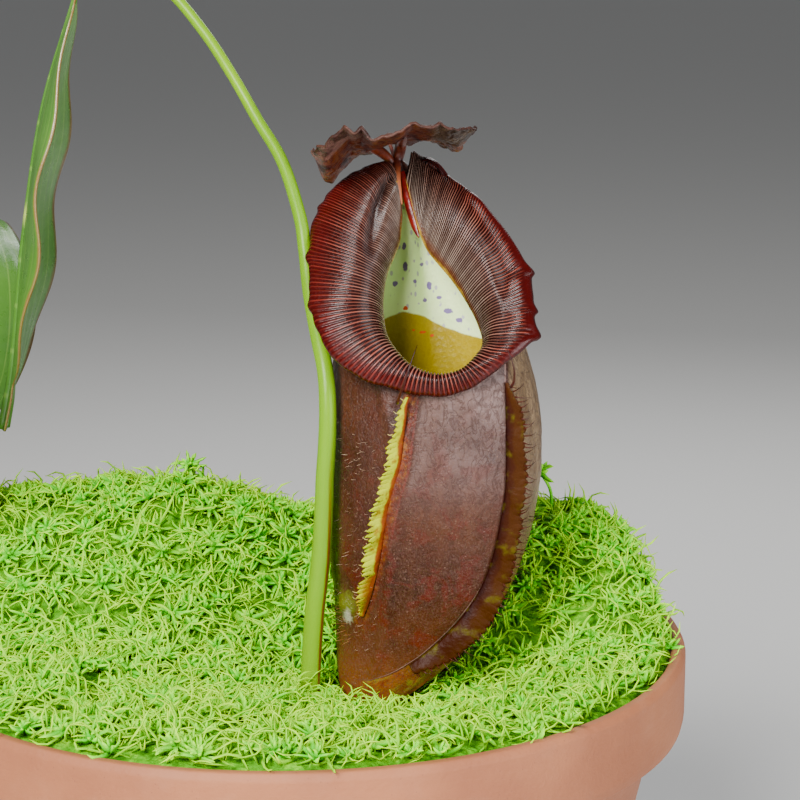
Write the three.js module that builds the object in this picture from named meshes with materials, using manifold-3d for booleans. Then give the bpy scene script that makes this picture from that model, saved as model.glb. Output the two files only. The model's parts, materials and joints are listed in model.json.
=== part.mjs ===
// A tropical pitcher plant in a plain round pot, life size, in millimetres, +Z up.
// The origin is the centre of the pot's base. The pot holds a bark and perlite mix with a cushion of living
// sphagnum on it. A short stem stands in the cushion near its left edge and carries five leaves. The tendril
// of one leaf arches over and comes down to the pitcher, which rests in the moss at the front.
import * as THREE from "three";
import { mergeVertices } from "three/addons/utils/BufferGeometryUtils.js";
import Module from "manifold-3d";

const wasm = await Module();
wasm.setup();

// Driving dimensions.
const gap = 0.3; // between pieces that touch
const potRim = { radius: 118, band: 24, lip: 2.2 };
const potHeight = 140;
const potBaseRadius = 84;
const potWall = 3;
const potFloor = 4;
const drainHole = { count: 5, radius: 6, ring: 48 };
const mossFloor = 104; // where the sphagnum starts above the bark mix
const mossHill = { front: 4, rise: 35, from: -26, crest: 32 };
const mossHollow = { x: 30, y: -44, depth: 14 };
const sectors = 40; // round the pot and what fills it
const pitcherX = 32; // the pitcher stands this far right of the pot's centre
const pitcherWall = 1.4;
const collarThickness = 1.1;
const ribCount = 72;
const ribRelief = 0.35;
const stemFoot = new THREE.Vector3(-98, 18, 122);
const stemTop = new THREE.Vector3(-95, 17, 214);
const stemRadius = 4.6;
const bladeThickness = 0.8;

// ---------- small helpers ----------

const { degToRad, lerp, clamp, smoothstep } = THREE.MathUtils;
const vec = (x, y, z) => new THREE.Vector3(x, y, z);
const spline = (points) =>
  new THREE.CatmullRomCurve3(points.map((p) => vec(...p)), false, "catmullrom", 0.5);

// The value at x of a smooth curve through [x, value] pairs, which run upwards in x.
function curveAt(pairs, x) {
  const last = pairs.length - 1;
  const i = clamp(pairs.findIndex((p) => p[0] > x) - 1, 0, last - 1);
  const start = x >= pairs[last][0] ? last - 1 : i;
  const share = clamp((x - pairs[start][0]) / (pairs[start + 1][0] - pairs[start][0]), 0, 1);
  const slope = (k) => {
    const a = pairs[Math.max(k - 1, 0)];
    const b = pairs[Math.min(k + 1, last)];
    return (b[1] - a[1]) / (b[0] - a[0]);
  };
  const span = pairs[start + 1][0] - pairs[start][0];
  const [p, q] = [pairs[start][1], pairs[start + 1][1]];
  const [m, n] = [slope(start) * span, slope(start + 1) * span];
  const s2 = share * share;
  const s3 = s2 * share;
  return (2 * s3 - 3 * s2 + 1) * p + (s3 - 2 * s2 + share) * m + (3 * s2 - 2 * s3) * q + (s3 - s2) * n;
}

// Seeded random numbers, so that the moss is the same in every build.
function randomFrom(seed) {
  let state = seed;
  return () => {
    state = (state * 1664525 + 1013904223) % 4294967296;
    return state / 4294967296;
  };
}

// Triangles of a grid of points, rows[i][j]. Both faces of a plate use it, so they split alike.
function gridTriangles(rows, wraps, flip) {
  const triangles = [];
  rows.slice(1).forEach((row, i) => {
    const below = rows[i];
    const count = wraps ? row.length : row.length - 1;
    for (let j = 0; j < count; j++) {
      const k = (j + 1) % row.length;
      const [a, b, c, d] = [below[j], below[k], row[k], row[j]];
      triangles.push(flip ? [a, c, b] : [a, b, c], flip ? [a, d, c] : [a, c, d]);
    }
  });
  return triangles;
}

// A geometry from triangles of points. Slivers that a pole leaves are dropped.
function geometryOf(triangles) {
  const kept = triangles.filter(
    ([a, b, c]) => a.distanceTo(b) > 1e-4 && b.distanceTo(c) > 1e-4 && c.distanceTo(a) > 1e-4,
  );
  return new THREE.BufferGeometry().setFromPoints(kept.flat());
}

// The surface normal at each point of a grid, by differences between its neighbours.
function gridNormals(rows, wraps) {
  const pick = (row, j) =>
    wraps ? row[(j + row.length) % row.length] : row[clamp(j, 0, row.length - 1)];
  return rows.map((row, i) =>
    row.map((_, j) => {
      const along = pick(row, j + 1).clone().sub(pick(row, j - 1));
      const next = rows[Math.min(i + 1, rows.length - 1)][j];
      const across = next.clone().sub(rows[Math.max(i - 1, 0)][j]);
      return along.cross(across).normalize();
    }),
  );
}

// A thin closed plate on a grid of points, with its own rise above and drop below each point.
function plate(rows, rise, drop) {
  const normals = gridNormals(rows, false);
  const shifted = (by) =>
    rows.map((row, i) => row.map((p, j) => p.clone().addScaledVector(normals[i][j], by(i, j))));
  const top = shifted(rise);
  const under = shifted((i, j) => -drop(i, j));
  const loop = (grid) => [
    ...grid[0],
    ...grid.slice(1, -1).map((row) => row.at(-1)),
    ...grid.at(-1).toReversed(),
    ...grid.slice(1, -1).map((row) => row[0]).toReversed(),
  ];
  return geometryOf([
    ...gridTriangles(top, false, false),
    ...gridTriangles(under, false, true),
    ...gridTriangles([loop(under), loop(top)], true, false),
  ]);
}

// A closed round skin: rings of points from one pole to the other, facing out.
const skin = (rings) => geometryOf(gridTriangles(rings, true, false));

// A round rod with its own radius at each point of a path, closed by a point at each end.
function rod(path, radii, sides, steps) {
  const frames = path.computeFrenetFrames(steps, false);
  const ring = (i, radius) => {
    const centre = path.getPointAt(i / steps);
    return Array.from({ length: sides }, (_, j) => {
      const turn = (2 * Math.PI * j) / sides;
      return centre
        .clone()
        .addScaledVector(frames.normals[i], radius * Math.cos(turn))
        .addScaledVector(frames.binormals[i], radius * Math.sin(turn));
    });
  };
  const rings = [ring(0, 0)];
  for (let i = 0; i <= steps; i++) rings.push(ring(i, radii(i / steps)));
  rings.push(ring(steps, 0));
  return skin(rings);
}

// A solid body from a closed surface. One whose triangles face inwards is turned inside out.
function solidOf(geometry) {
  const bare = geometry.clone();
  bare.deleteAttribute("normal");
  bare.deleteAttribute("uv");
  const merged = mergeVertices(bare, 1e-4);
  const vertProperties = merged.attributes.position.array;
  const triVerts = new Uint32Array(merged.index.array);
  const solid = new wasm.Manifold(new wasm.Mesh({ numProp: 3, vertProperties, triVerts }));
  if (solid.volume() > 0) return solid;
  return new wasm.Manifold(new wasm.Mesh({ numProp: 3, vertProperties, triVerts: triVerts.toReversed() }));
}

// The outer shell of a body, with no hollows left inside it.
const filled = (solid) => solid.decompose().sort((a, b) => b.volume() - a.volume())[0];

function geometryFrom(solid) {
  const mesh = solid.getMesh();
  return new THREE.BufferGeometry()
    .setAttribute("position", new THREE.BufferAttribute(Float32Array.from(mesh.vertProperties), 3))
    .setIndex(new THREE.BufferAttribute(Uint32Array.from(mesh.triVerts), 1));
}

const material = (color, roughness) => new THREE.MeshStandardMaterial({ color, roughness, metalness: 0 });

const plant = new THREE.Group();
function addNode(name, shape, color, roughness = 0.6) {
  const solid = shape.isBufferGeometry ? solidOf(shape) : shape;
  const mesh = new THREE.Mesh(geometryFrom(solid), material(color, roughness));
  mesh.name = name;
  plant.add(mesh);
  return solid;
}

// ---------- the pitcher's mouth and its ribbed collar ----------

// Points of the mouth are [across, up the slope, out of it], from the front of the rim, on a plane that
// rises to the neck at the back.
const mouthFront = vec(pitcherX, -53, 230);
const mouthSlope = degToRad(42.8);
const upSlope = vec(0, Math.cos(mouthSlope), Math.sin(mouthSlope));
const outOfMouth = vec(0, -Math.sin(mouthSlope), Math.cos(mouthSlope));
const onMouth = ([across, up, out]) =>
  mouthFront
    .clone()
    .add(vec(across, 0, 0))
    .addScaledVector(upSlope, up)
    .addScaledVector(outOfMouth, out);

// Three lines that the ribs run over, each from the left of the neck round the front to its right.
const collarInner = [
  [-0.8, 70, -1.5], [-0.5, 66, -3], [0, 62, -5], [0, 57.5, -7], [-0.5, 52.5, -8], [-2, 47.5, -8],
  [-4, 41, -8], [-5, 33, -8], [-5, 25.5, -8], [-4, 17.5, -8], [-1.5, 11, -8], [3.5, 5.5, -8],
  [10, 3, -8], [17, 4, -8], [22, 10, -8], [23.5, 16.5, -8], [22, 24, -8], [19, 31.5, -8],
  [15, 39, -8], [11, 45, -8], [8, 50, -8], [6, 55, -7], [4.2, 61, -5], [2.8, 66, -3], [1.6, 71, -1.5],
];
const collarCrest = [
  [-2.2, 74.5, 0], [-3.6, 71.5, 0], [-5.3, 67.3, 1], [-7.5, 61, 1], [-9, 53, 2], [-10.2, 45, 2],
  [-10.7, 36, 2], [-10.6, 27.5, 2], [-9.5, 20, 2], [-7, 12.7, 2], [-2.7, 7, 1], [2.7, 2.3, 0],
  [10, -0.5, 0], [17, 1.2, 0], [22.5, 6, 1], [26.5, 11, 2], [27.7, 20.5, 2], [26.5, 30, 2],
  [24.3, 41, 2], [20, 52, 2], [15, 61, 2], [10.4, 69, 1], [7, 73, 1], [4.8, 75.8, 0], [3, 76.6, 0],
];
const collarMargin = [
  [-5, 76.5, 0], [-9.8, 74.5, 0], [-14.5, 71.5, 0], [-19, 66, 0], [-22.5, 58, 0], [-25, 48.5, 0],
  [-25, 38, 0], [-24.3, 26.5, 0], [-21.8, 15, 0], [-16.5, 5.7, -1], [-8.7, 0, -2], [0.5, -2.3, -3],
  [10.3, -4, -3], [19.6, -1.6, -3], [28.2, 3, -2], [35.8, 10, -1], [35.8, 19.5, 0], [35.3, 31.5, 0],
  [31.2, 43.5, 0], [25.2, 55, 0], [19.6, 64.5, 0], [13.8, 72, 0], [9, 76.2, 0], [6, 78.5, 0], [3.8, 80, 0],
];
const collarLines = [collarInner, collarCrest, collarMargin].map((line) => spline(line.map((p) => onMouth(p).toArray())));

// A point of the collar, from its inner edge at across 0 over the crest at 0.5 to its margin at 1.
function collarPoint(round, across) {
  const [inner, crest, margin] = collarLines.map((line) => line.getPoint(round));
  const pull = crest.clone().multiplyScalar(2).addScaledVector(inner, -0.5).addScaledVector(margin, -0.5);
  const rest = 1 - across;
  return inner
    .multiplyScalar(rest * rest)
    .addScaledVector(pull, 2 * across * rest)
    .addScaledVector(margin, across * across);
}

function collarNormal(round, across) {
  const step = 0.01;
  const along = collarPoint(Math.min(round + step, 1), across).sub(collarPoint(Math.max(round - step, 0), across));
  const out = collarPoint(round, across + step).sub(collarPoint(round, across - step));
  return along.cross(out).normalize().negate();
}

// Even steps along the crest, so that the ribs are evenly spaced.
function evenRounds(count) {
  const fine = 400;
  const lengths = [0];
  for (let i = 1; i <= fine; i++) {
    const step = collarPoint(i / fine, 0.6).distanceTo(collarPoint((i - 1) / fine, 0.6));
    lengths.push(lengths[i - 1] + step);
  }
  return Array.from({ length: count + 1 }, (_, k) => {
    const goal = (lengths[fine] * k) / count;
    const i = clamp(lengths.findIndex((l) => l >= goal), 1, fine);
    return (i - 1 + (goal - lengths[i - 1]) / (lengths[i] - lengths[i - 1])) / fine;
  });
}

function makeCollar() {
  const spans = 5;
  const rounds = evenRounds(ribCount * 2);
  const rows = rounds.map((round) =>
    Array.from({ length: spans + 1 }, (_, j) => collarPoint(round, j / spans)),
  );
  const half = collarThickness / 2;
  const rib = (i, j) => half + (i % 2 && j > 0 && j < spans ? ribRelief : -ribRelief / 3);
  const facingUp = gridNormals(rows, false)[ribCount][2].dot(outOfMouth) > 0;
  const smooth = () => half;
  return facingUp ? plate(rows, rib, smooth) : plate(rows, smooth, rib);
}

// ---------- the pitcher's cup ----------

// Across the cup at each height: its middle, and half its width and its depth.
const cupMiddleX = [[127, 20.5], [131, 24], [138, 28.5], [145, 32.5], [152, 35.5], [161, 38], [172, 39.6],
  [184, 41], [196, 42], [210, 42]];
const cupMiddleY = [[127, -37], [138, -32], [152, -27.5], [172, -25.5], [210, -25]];
const cupHalfWidth = [[127, 3.2], [131, 8.5], [138, 14.5], [145, 18.8], [152, 22], [161, 25.2], [172, 28],
  [184, 29.8], [196, 30.5], [210, 30.5]];
const cupHalfDepth = [[127, 3], [131, 7], [138, 12.5], [145, 16.5], [152, 19.5], [161, 22.5], [172, 24.8],
  [184, 26.2], [196, 27], [210, 27]];
const cupBottom = 125.5;
const cupShoulder = 207; // above this the wall leans in to the mouth
const cupFront = degToRad(-74); // the way the front of the pitcher faces
const neckSpread = degToRad(11); // half the angle that the neck takes at the back
const neckTop = { halfWidth: 2, y: 7, height: 283 };
const collarSeat = 0.38; // how far across the collar the wall meets it from below

const cupSlice = (angle, z) =>
  vec(
    curveAt(cupMiddleX, z) + curveAt(cupHalfWidth, z) * Math.cos(angle),
    curveAt(cupMiddleY, z) + curveAt(cupHalfDepth, z) * Math.sin(angle),
    z,
  );

// Each column of the cup: the angle that it stands at, and where and how its top edge lies.
function cupColumns(collarCount, neckCount) {
  const frontRound = 0.5;
  const onSeat = evenRounds(collarCount).map((round) => {
    const side = round < frontRound ? -(1 - round / frontRound) : round / frontRound - 1;
    const normal = collarNormal(round, collarSeat);
    const reach = collarThickness / 2 + gap + 0.8 + 0.6 * smoothstep(Math.abs(side), 0.75, 1);
    return {
      angle: cupFront + side * (Math.PI - neckSpread),
      top: collarPoint(round, collarSeat).addScaledVector(normal, -reach),
      lean: normal,
    };
  });
  const onNeck = Array.from({ length: neckCount }, (_, k) => {
    const share = (k + 0.5) / neckCount;
    return {
      angle: cupFront + Math.PI - neckSpread * (1 - 2 * share),
      top: vec(pitcherX + lerp(neckTop.halfWidth, -neckTop.halfWidth, share), neckTop.y, neckTop.height),
      lean: vec(0, 0.1, 1).normalize(),
    };
  });
  return [...onSeat, ...onNeck];
}

function cupRings(columns) {
  const sliceHeights = [126.2, 128, 131, 135, 141, 149, 159, 171, 184, 196, cupShoulder];
  const upperSteps = 5;
  const rings = sliceHeights.map((z) => columns.map((c) => cupSlice(c.angle, z)));
  for (let k = 1; k <= upperSteps; k++) {
    const s = k / upperSteps;
    rings.push(
      columns.map((c) => {
        const foot = cupSlice(c.angle, cupShoulder);
        const reach = foot.distanceTo(c.top);
        const [s2, s3] = [s * s, s * s * s];
        return vec(0, 0, 0)
          .addScaledVector(foot, 2 * s3 - 3 * s2 + 1)
          .addScaledVector(vec(0, 0, 1), (s3 - 2 * s2 + s) * reach)
          .addScaledVector(c.top, 3 * s2 - 2 * s3)
          .addScaledVector(c.lean, (s3 - s2) * reach * 0.7);
      }),
    );
  }
  return rings;
}

function makeCup() {
  const columns = cupColumns(36, 4);
  const outer = cupRings(columns);
  const normals = gridNormals(outer, true);
  const inner = outer
    .map((row, i) => row.map((p, j) => p.clone().addScaledVector(normals[i][j], -pitcherWall)))
    .slice(2);
  const pole = (slice, z) => columns.map(() => vec(curveAt(cupMiddleX, slice), curveAt(cupMiddleY, slice), z));
  return skin([pole(127, cupBottom), ...outer, ...inner.toReversed(), pole(131, cupBottom + 5.1)]);
}

// The outside of the cup's foot, grown by the gap, as one body: what the moss makes room for.
function makeCupPocket() {
  const count = 20;
  const heights = [cupBottom - 1.2, 127, 131, 138, 148, 160, 172, 184, 196, 208];
  const rings = heights.map((z) =>
    Array.from({ length: count }, (_, j) => {
      const angle = (2 * Math.PI * j) / count;
      const p = cupSlice(angle, Math.max(z, 126));
      const grown = vec(1.6 * Math.cos(angle), 1.6 * Math.sin(angle), 0);
      return p.add(grown).setZ(z);
    }),
  );
  const cap = (ring) => ring.map(() => ring.reduce((sum, p) => sum.add(p), vec(0, 0, 0)).divideScalar(count));
  return solidOf(skin([cap(rings[0]), ...rings, cap(rings.at(-1))]));
}

// ---------- the two fringed wings down the front ----------

const wings = {
  wing_left: {
    root: [[33.6, -53.6, 223.5], [32.3, -53.3, 213.8], [31, -52.8, 203.2], [28.4, -51.8, 193.9], [26.4, -50.8, 184],
      [25.3, -49.6, 177], [23.3, -47.8, 168], [20, -45.3, 158.5]],
    lean: [-0.8, -0.6],
    width: [[0, 1], [0.12, 4.2], [0.5, 6.2], [0.8, 5], [1, 1.5]],
    teeth: 24,
  },
  wing_right: {
    root: [[61.6, -47.6, 226.5], [62.2, -47.5, 218.9], [62.6, -47.6, 209.2], [62.2, -47.5, 196.1],
      [60.9, -47.4, 186.2], [59, -47, 176.2], [55.5, -46.6, 167.7], [50, -46.6, 159.3], [42.8, -46.4, 151.3],
      [34.5, -46, 144.6]],
    lean: [0.85, -0.53],
    width: [[0, 1], [0.1, 4.4], [0.5, 6], [0.8, 7], [1, 3]],
    teeth: 30,
  },
};

// A root line is moved out to where it lies just clear of the cup.
function clearOfCup(point, clearance) {
  const centre = vec(curveAt(cupMiddleX, point.z), curveAt(cupMiddleY, point.z), point.z);
  const a = curveAt(cupHalfWidth, Math.min(point.z, 210));
  const b = curveAt(cupHalfDepth, Math.min(point.z, 210));
  const off = point.clone().sub(centre);
  const angle = Math.atan2(off.y / b, off.x / a);
  return centre.add(vec((a + clearance) * Math.cos(angle), (b + clearance) * Math.sin(angle), 0));
}

function makeWing({ root, lean, width, teeth }) {
  const line = spline(root);
  const steps = teeth * 2;
  const out = vec(lean[0], lean[1], 0).normalize();
  const rows = Array.from({ length: steps + 1 }, (_, i) => {
    const along = i / steps;
    const foot = clearOfCup(line.getPoint(along), bladeThickness / 2 + gap + 0.35);
    const tangent = line.getTangent(along);
    const droop = out.clone().addScaledVector(tangent, -out.dot(tangent)).normalize();
    const reach = curveAt(width, along) * (i % 2 ? 1 : 0.72);
    return [foot, foot.clone().addScaledVector(droop, reach * 0.6), foot.clone().addScaledVector(droop, reach)];
  });
  const thin = (i, j) => (j === 2 ? 0.3 : bladeThickness / 2);
  return plate(rows, thin, thin);
}

// ---------- the lid on its short stalk ----------

const lid = { middle: [30.4, -16], halfWidth: 23, halfLength: 24, thickness: 0.9 };

// How high the lid's crinkled margin lies, from its left end at -1 to its right end at 1.
const lidFrontHeight = [[-1, 287.7], [-0.85, 290.5], [-0.7, 294], [-0.55, 295.5], [-0.4, 295], [-0.25, 293.4],
  [-0.1, 294], [0.05, 295], [0.2, 297.2], [0.35, 296], [0.5, 295.8], [0.65, 295.2], [0.8, 295.5], [1, 294]];
const lidBackHeight = [[-1, 287.7], [-0.85, 277.5], [-0.7, 279.3], [-0.55, 283.2], [-0.4, 284.7], [-0.25, 285.8],
  [-0.1, 286.8], [0.05, 287], [0.2, 287.6], [0.35, 288.8], [0.5, 288.4], [0.65, 286.8], [0.8, 286.2], [1, 294]];

function makeLid() {
  const [across, along] = [26, 8];
  const rows = Array.from({ length: across + 1 }, (_, i) => {
    const u = Math.sin((Math.PI / 2) * ((2 * i) / across - 1));
    const deep = Math.max(Math.sqrt(1 - u * u), 0.04);
    return Array.from({ length: along + 1 }, (_, j) => {
      const v = (2 * j) / along - 1;
      const height = lerp(curveAt(lidFrontHeight, u), curveAt(lidBackHeight, u), (v + 1) / 2);
      const crinkle = 0.7 * Math.sin(9 * u + 2.2 * v) * (1 - 0.5 * v * v) * deep;
      return vec(lid.middle[0] + lid.halfWidth * u, lid.middle[1] + lid.halfLength * deep * v, height + crinkle);
    });
  });
  const half = () => lid.thickness / 2;
  const sheet = solidOf(plate(rows, half, half));
  const stalk = spline([
    [pitcherX - 1, neckTop.y, neckTop.height + gap + 0.9],
    [pitcherX - 1, neckTop.y - 0.8, 285.8],
    [pitcherX - 1, 4, 288.4],
  ]);
  return sheet.add(solidOf(rod(stalk, (s) => 1.7 + 0.9 * s, 8, 5)));
}

function makeSpur() {
  const path = spline([
    [pitcherX - 1, neckTop.y + 0.6, 278.5],
    [pitcherX - 1.4, 12, 281.5],
    [pitcherX - 2.4, 15.5, 284.5],
    [pitcherX - 4, 18.5, 288.2],
  ]);
  return rod(path, (s) => 0.9 - 0.45 * s, 6, 7);
}

// ---------- stem, leaves and the long tendril ----------

const stemLine = new THREE.LineCurve3(stemFoot, stemTop);

function makeStem() {
  const ringed = (s) => stemRadius * (s > 0.9 ? 0.8 : 1) * (1 + 0.05 * Math.cos(s * 60));
  return rod(stemLine, ringed, 12, 14);
}

// A leaf: its way out from the stem in plan, where it leaves the stem, its midrib as [out, up] points, its
// greatest half width, and the share of the last point's run that its own tendril takes.
const leaves = {
  leaf_back: { way: 104, height: 186, rib: [[0, 0], [22, 26], [58, 55], [98, 66], [128, 52]], half: 23, waves: 3.5 },
  leaf_front: { way: 248, height: 192, rib: [[0, 0], [20, 28], [52, 60], [92, 74], [124, 62]], half: 22, waves: 3 },
  leaf_side: { way: 178, height: 197, rib: [[0, 0], [18, 30], [48, 66], [86, 84], [120, 78]], half: 23, waves: 4 },
};
const pitcherLeaf = {
  rib: [[-89.8, 17.8, 199], [-85.4, 18, 222], [-81, 18, 258], [-74, 16, 296], [-63, 12, 329]],
  half: 20,
  waves: 3,
};
const youngLeaf = { rib: [[-95, 17, 214.8], [-96, 16, 236], [-98.5, 14, 262], [-104, 11, 291]], half: 5.5 };

const bladeHalfWidth = (s, half) => {
  const petiole = 3.4 * (1 - smoothstep(s, 0.06, 0.2));
  const blade = half * Math.sin(Math.PI * clamp((s - 0.1) / 0.9, 0, 1) ** 0.85) ** 0.75;
  return Math.max(petiole, blade, 1.2);
};

// A blade along a midrib, folded up a little along it, with waved edges and a raised rib under it.
function makeBlade(line, side, half, waves, fold = 0.22) {
  const [along, across] = [18, 6];
  const rows = Array.from({ length: along + 1 }, (_, i) => {
    const s = i / along;
    const centre = line.getPointAt(s);
    const tangent = line.getTangentAt(s);
    const wide = side.clone().addScaledVector(tangent, -side.dot(tangent)).normalize();
    const up = wide.clone().cross(tangent).normalize();
    const reach = bladeHalfWidth(s, half);
    return Array.from({ length: across + 1 }, (_, j) => {
      const v = (2 * j) / across - 1;
      const wave = 1.8 * v * v * Math.sin(2 * Math.PI * waves * s + (v > 0 ? 1.2 : 0)) * Math.min(1, reach / half);
      const lift = fold * reach * Math.abs(v) ** 1.5 + wave;
      return centre.clone().addScaledVector(wide, v * reach).addScaledVector(up, lift);
    });
  });
  const middle = across / 2;
  const thin = () => bladeThickness / 2;
  const ribbed = (i, j) => (j === middle ? 1.5 - 0.9 * (i / along) : bladeThickness / 2);
  const facesUp = gridNormals(rows, false)[9][middle].z > 0;
  return facesUp ? plate(rows, thin, ribbed) : plate(rows, ribbed, thin);
}

function makeLeaf({ way, height, rib, half, waves }) {
  const angle = degToRad(way);
  const out = vec(Math.cos(angle), Math.sin(angle), 0);
  const side = vec(-Math.sin(angle), Math.cos(angle), 0);
  const foot = stemLine.getPoint((height - stemFoot.z) / (stemTop.z - stemFoot.z));
  const start = stemRadius * 1.05 + gap + 0.4;
  const at = ([run, rise]) => foot.clone().addScaledVector(out, start + run).setZ(height + rise);
  const line = new THREE.CatmullRomCurve3(rib.map(at), false, "catmullrom", 0.5);
  const tip = rib.at(-1);
  const tendril = spline([
    at([tip[0] - 4, tip[1] + 2.2]).toArray(),
    at([tip[0] + 8, tip[1] - 7]).toArray(),
    at([tip[0] + 15, tip[1] - 21]).toArray(),
    at([tip[0] + 13, tip[1] - 36]).toArray(),
    at([tip[0] + 6, tip[1] - 44]).toArray(),
    at([tip[0] + 1, tip[1] - 38]).toArray(),
  ]);
  return solidOf(makeBlade(line, side, half, waves)).add(solidOf(rod(tendril, (s) => 1.25 - 0.5 * s, 6, 12)));
}

function makePitcherLeaf() {
  return solidOf(makeBlade(spline(pitcherLeaf.rib), vec(0, 1, 0), pitcherLeaf.half, pitcherLeaf.waves, 0.3));
}

// The youngest leaf is still rolled into a spear.
function makeYoungLeaf() {
  const rolled = (s) => 1.2 + (youngLeaf.half - 1.2) * Math.sin(Math.PI * Math.min(1, s * 1.02 + 0.08)) ** 0.8;
  return rod(spline(youngLeaf.rib), (s) => Math.max(0.7, rolled(s)), 8, 10);
}

// From the tip of the pitcher's leaf, over and down beside the cup, and round under it to its foot.
const tendrilLine = spline([
  [-62.4, 11.8, 330.6], [-55, 9, 337.5], [-45, 6, 338.5], [-34, 2.5, 331], [-24, -1, 319.5], [-16, -4, 307.6],
  [-8.8, -8, 295.5], [-1.6, -11, 283.6], [3.3, -14, 268.6], [4.9, -17, 258.8], [6.5, -23.5, 247.5],
  [8.8, -31, 237.5], [11.1, -37, 227.9], [11.8, -40, 218.4], [11.6, -41, 208.6], [10.9, -41, 198.2],
  [10.6, -41, 189.9], [9.6, -41, 174.4], [7.8, -41, 159.1], [6.8, -40.5, 146], [6.4, -40, 134],
  [7.3, -39, 126.5], [11, -38, 121.4], [15.5, -37.5, 120.6], [18.8, -37.2, 122.2], [20, -37, 124.4],
]);
const tendrilEnd = tendrilLine.getPoint(1).toArray();
const tendrilRadius = [[0, 1.5], [0.25, 1.6], [0.45, 2], [0.6, 2.4], [0.8, 2.8], [0.9, 2.8], [1, 2.4]];

const makeTendril = (grow) => rod(tendrilLine, (s) => curveAt(tendrilRadius, s) + grow, 8, 46);

// ---------- the pot and what fills it ----------

const wallRadius = (z) => lerp(potBaseRadius, potRim.radius - potRim.lip - 1, z / potHeight);

function makePot() {
  const bandFoot = potHeight - potRim.band;
  const profile = [
    [0, 0], [potBaseRadius - 2, 0], [potBaseRadius, 2], [wallRadius(bandFoot), bandFoot],
    [potRim.radius - 0.6, bandFoot + 1.2], [potRim.radius, bandFoot + 4], [potRim.radius, potHeight - 2],
    [potRim.radius - 1.2, potHeight], [potRim.radius - potWall - 0.6, potHeight],
    [potRim.radius - potWall - 1.6, potHeight - 2], [wallRadius(bandFoot) - potWall, bandFoot],
    [potBaseRadius - potWall + 1, potFloor + 1], [potBaseRadius - potWall - 1, potFloor], [0, potFloor],
  ].map(([r, z]) => new THREE.Vector2(r, z));
  const shell = new THREE.LatheGeometry(profile, sectors).rotateX(Math.PI / 2);
  let pot = solidOf(shell);
  for (let k = 0; k < drainHole.count; k++) {
    const angle = (2 * Math.PI * (k + 0.5)) / drainHole.count;
    const plug = new THREE.CylinderGeometry(drainHole.radius, drainHole.radius, potFloor * 4, 10)
      .rotateX(Math.PI / 2)
      .translate(drainHole.ring * Math.cos(angle), drainHole.ring * Math.sin(angle), 0);
    pot = pot.subtract(solidOf(plug));
  }
  return pot;
}

const innerRadius = (z) => {
  const bandFoot = potHeight - potRim.band;
  return z > bandFoot
    ? lerp(wallRadius(bandFoot) - potWall, potRim.radius - potWall - 1.6, (z - bandFoot) / (potRim.band - 2))
    : lerp(potBaseRadius - potWall + 1, wallRadius(bandFoot) - potWall, (z - potFloor - 1) / (bandFoot - potFloor - 1));
};

// Bark and perlite mix: a lumpy top that the sphagnum lies on.
function makeMix() {
  const inset = gap + 0.3;
  const profile = [
    [0, potFloor + gap], [potBaseRadius - potWall - 2, potFloor + gap],
    [innerRadius(20) - inset, 20], [innerRadius(60) - inset, 60],
    [innerRadius(mossFloor - gap) - inset, mossFloor - gap], [0, mossFloor - gap],
  ].map(([r, z]) => new THREE.Vector2(r, z));
  return solidOf(new THREE.LatheGeometry(profile, sectors).rotateX(Math.PI / 2));
}

// The height of the moss: a hill at the back that falls to the rim, and a hollow in front of it, where the
// pitcher rests.
function mossHeight(x, y) {
  const radius = Math.hypot(x, y);
  const edge = clamp(radius / (potRim.radius - 5), 0, 1) ** 12;
  const saddle = 1 - 0.3 * Math.exp(-(((x - 6) / 26) ** 2));
  const ramp = smoothstep(y + 0.1 * Math.abs(x), mossHill.from, mossHill.crest);
  const hill = mossHill.rise * saddle * ramp - 0.3 * Math.max(0, y - mossHill.crest);
  const lumps = 1.6 * Math.sin(0.09 * x + 1) * Math.cos(0.11 * y) + 1.2 * Math.sin(0.21 * x - 0.13 * y);
  const hollow = Math.exp(-(((x - mossHollow.x) / 52) ** 2) - ((y - mossHollow.y) / 34) ** 2);
  return potHeight - 0.5 + (mossHill.front + hill + lumps) * (1 - edge) - mossHollow.depth * hollow;
}

// One head of sphagnum: a star of pointed branches that stands out of the cushion, as a closed body.
function makeMossHead(x, y, size, turn) {
  const branches = 5;
  const lowest = mossHeight(x, y);
  const rim = Array.from({ length: branches * 2 }, (_, k) => {
    const angle = turn + (Math.PI * k) / branches;
    const reach = k % 2 ? size * 0.36 : size;
    const [px, py] = [x + reach * Math.cos(angle), y + reach * Math.sin(angle)];
    return vec(px, py, mossHeight(px, py) + (k % 2 ? 0.8 : 2.2 + 0.15 * size));
  });
  const top = rim.map(() => vec(x, y, lowest + 0.62 * size));
  const bottom = rim.map(() => vec(x, y, lowest - size));
  return solidOf(skin([bottom, rim, top]));
}

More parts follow.
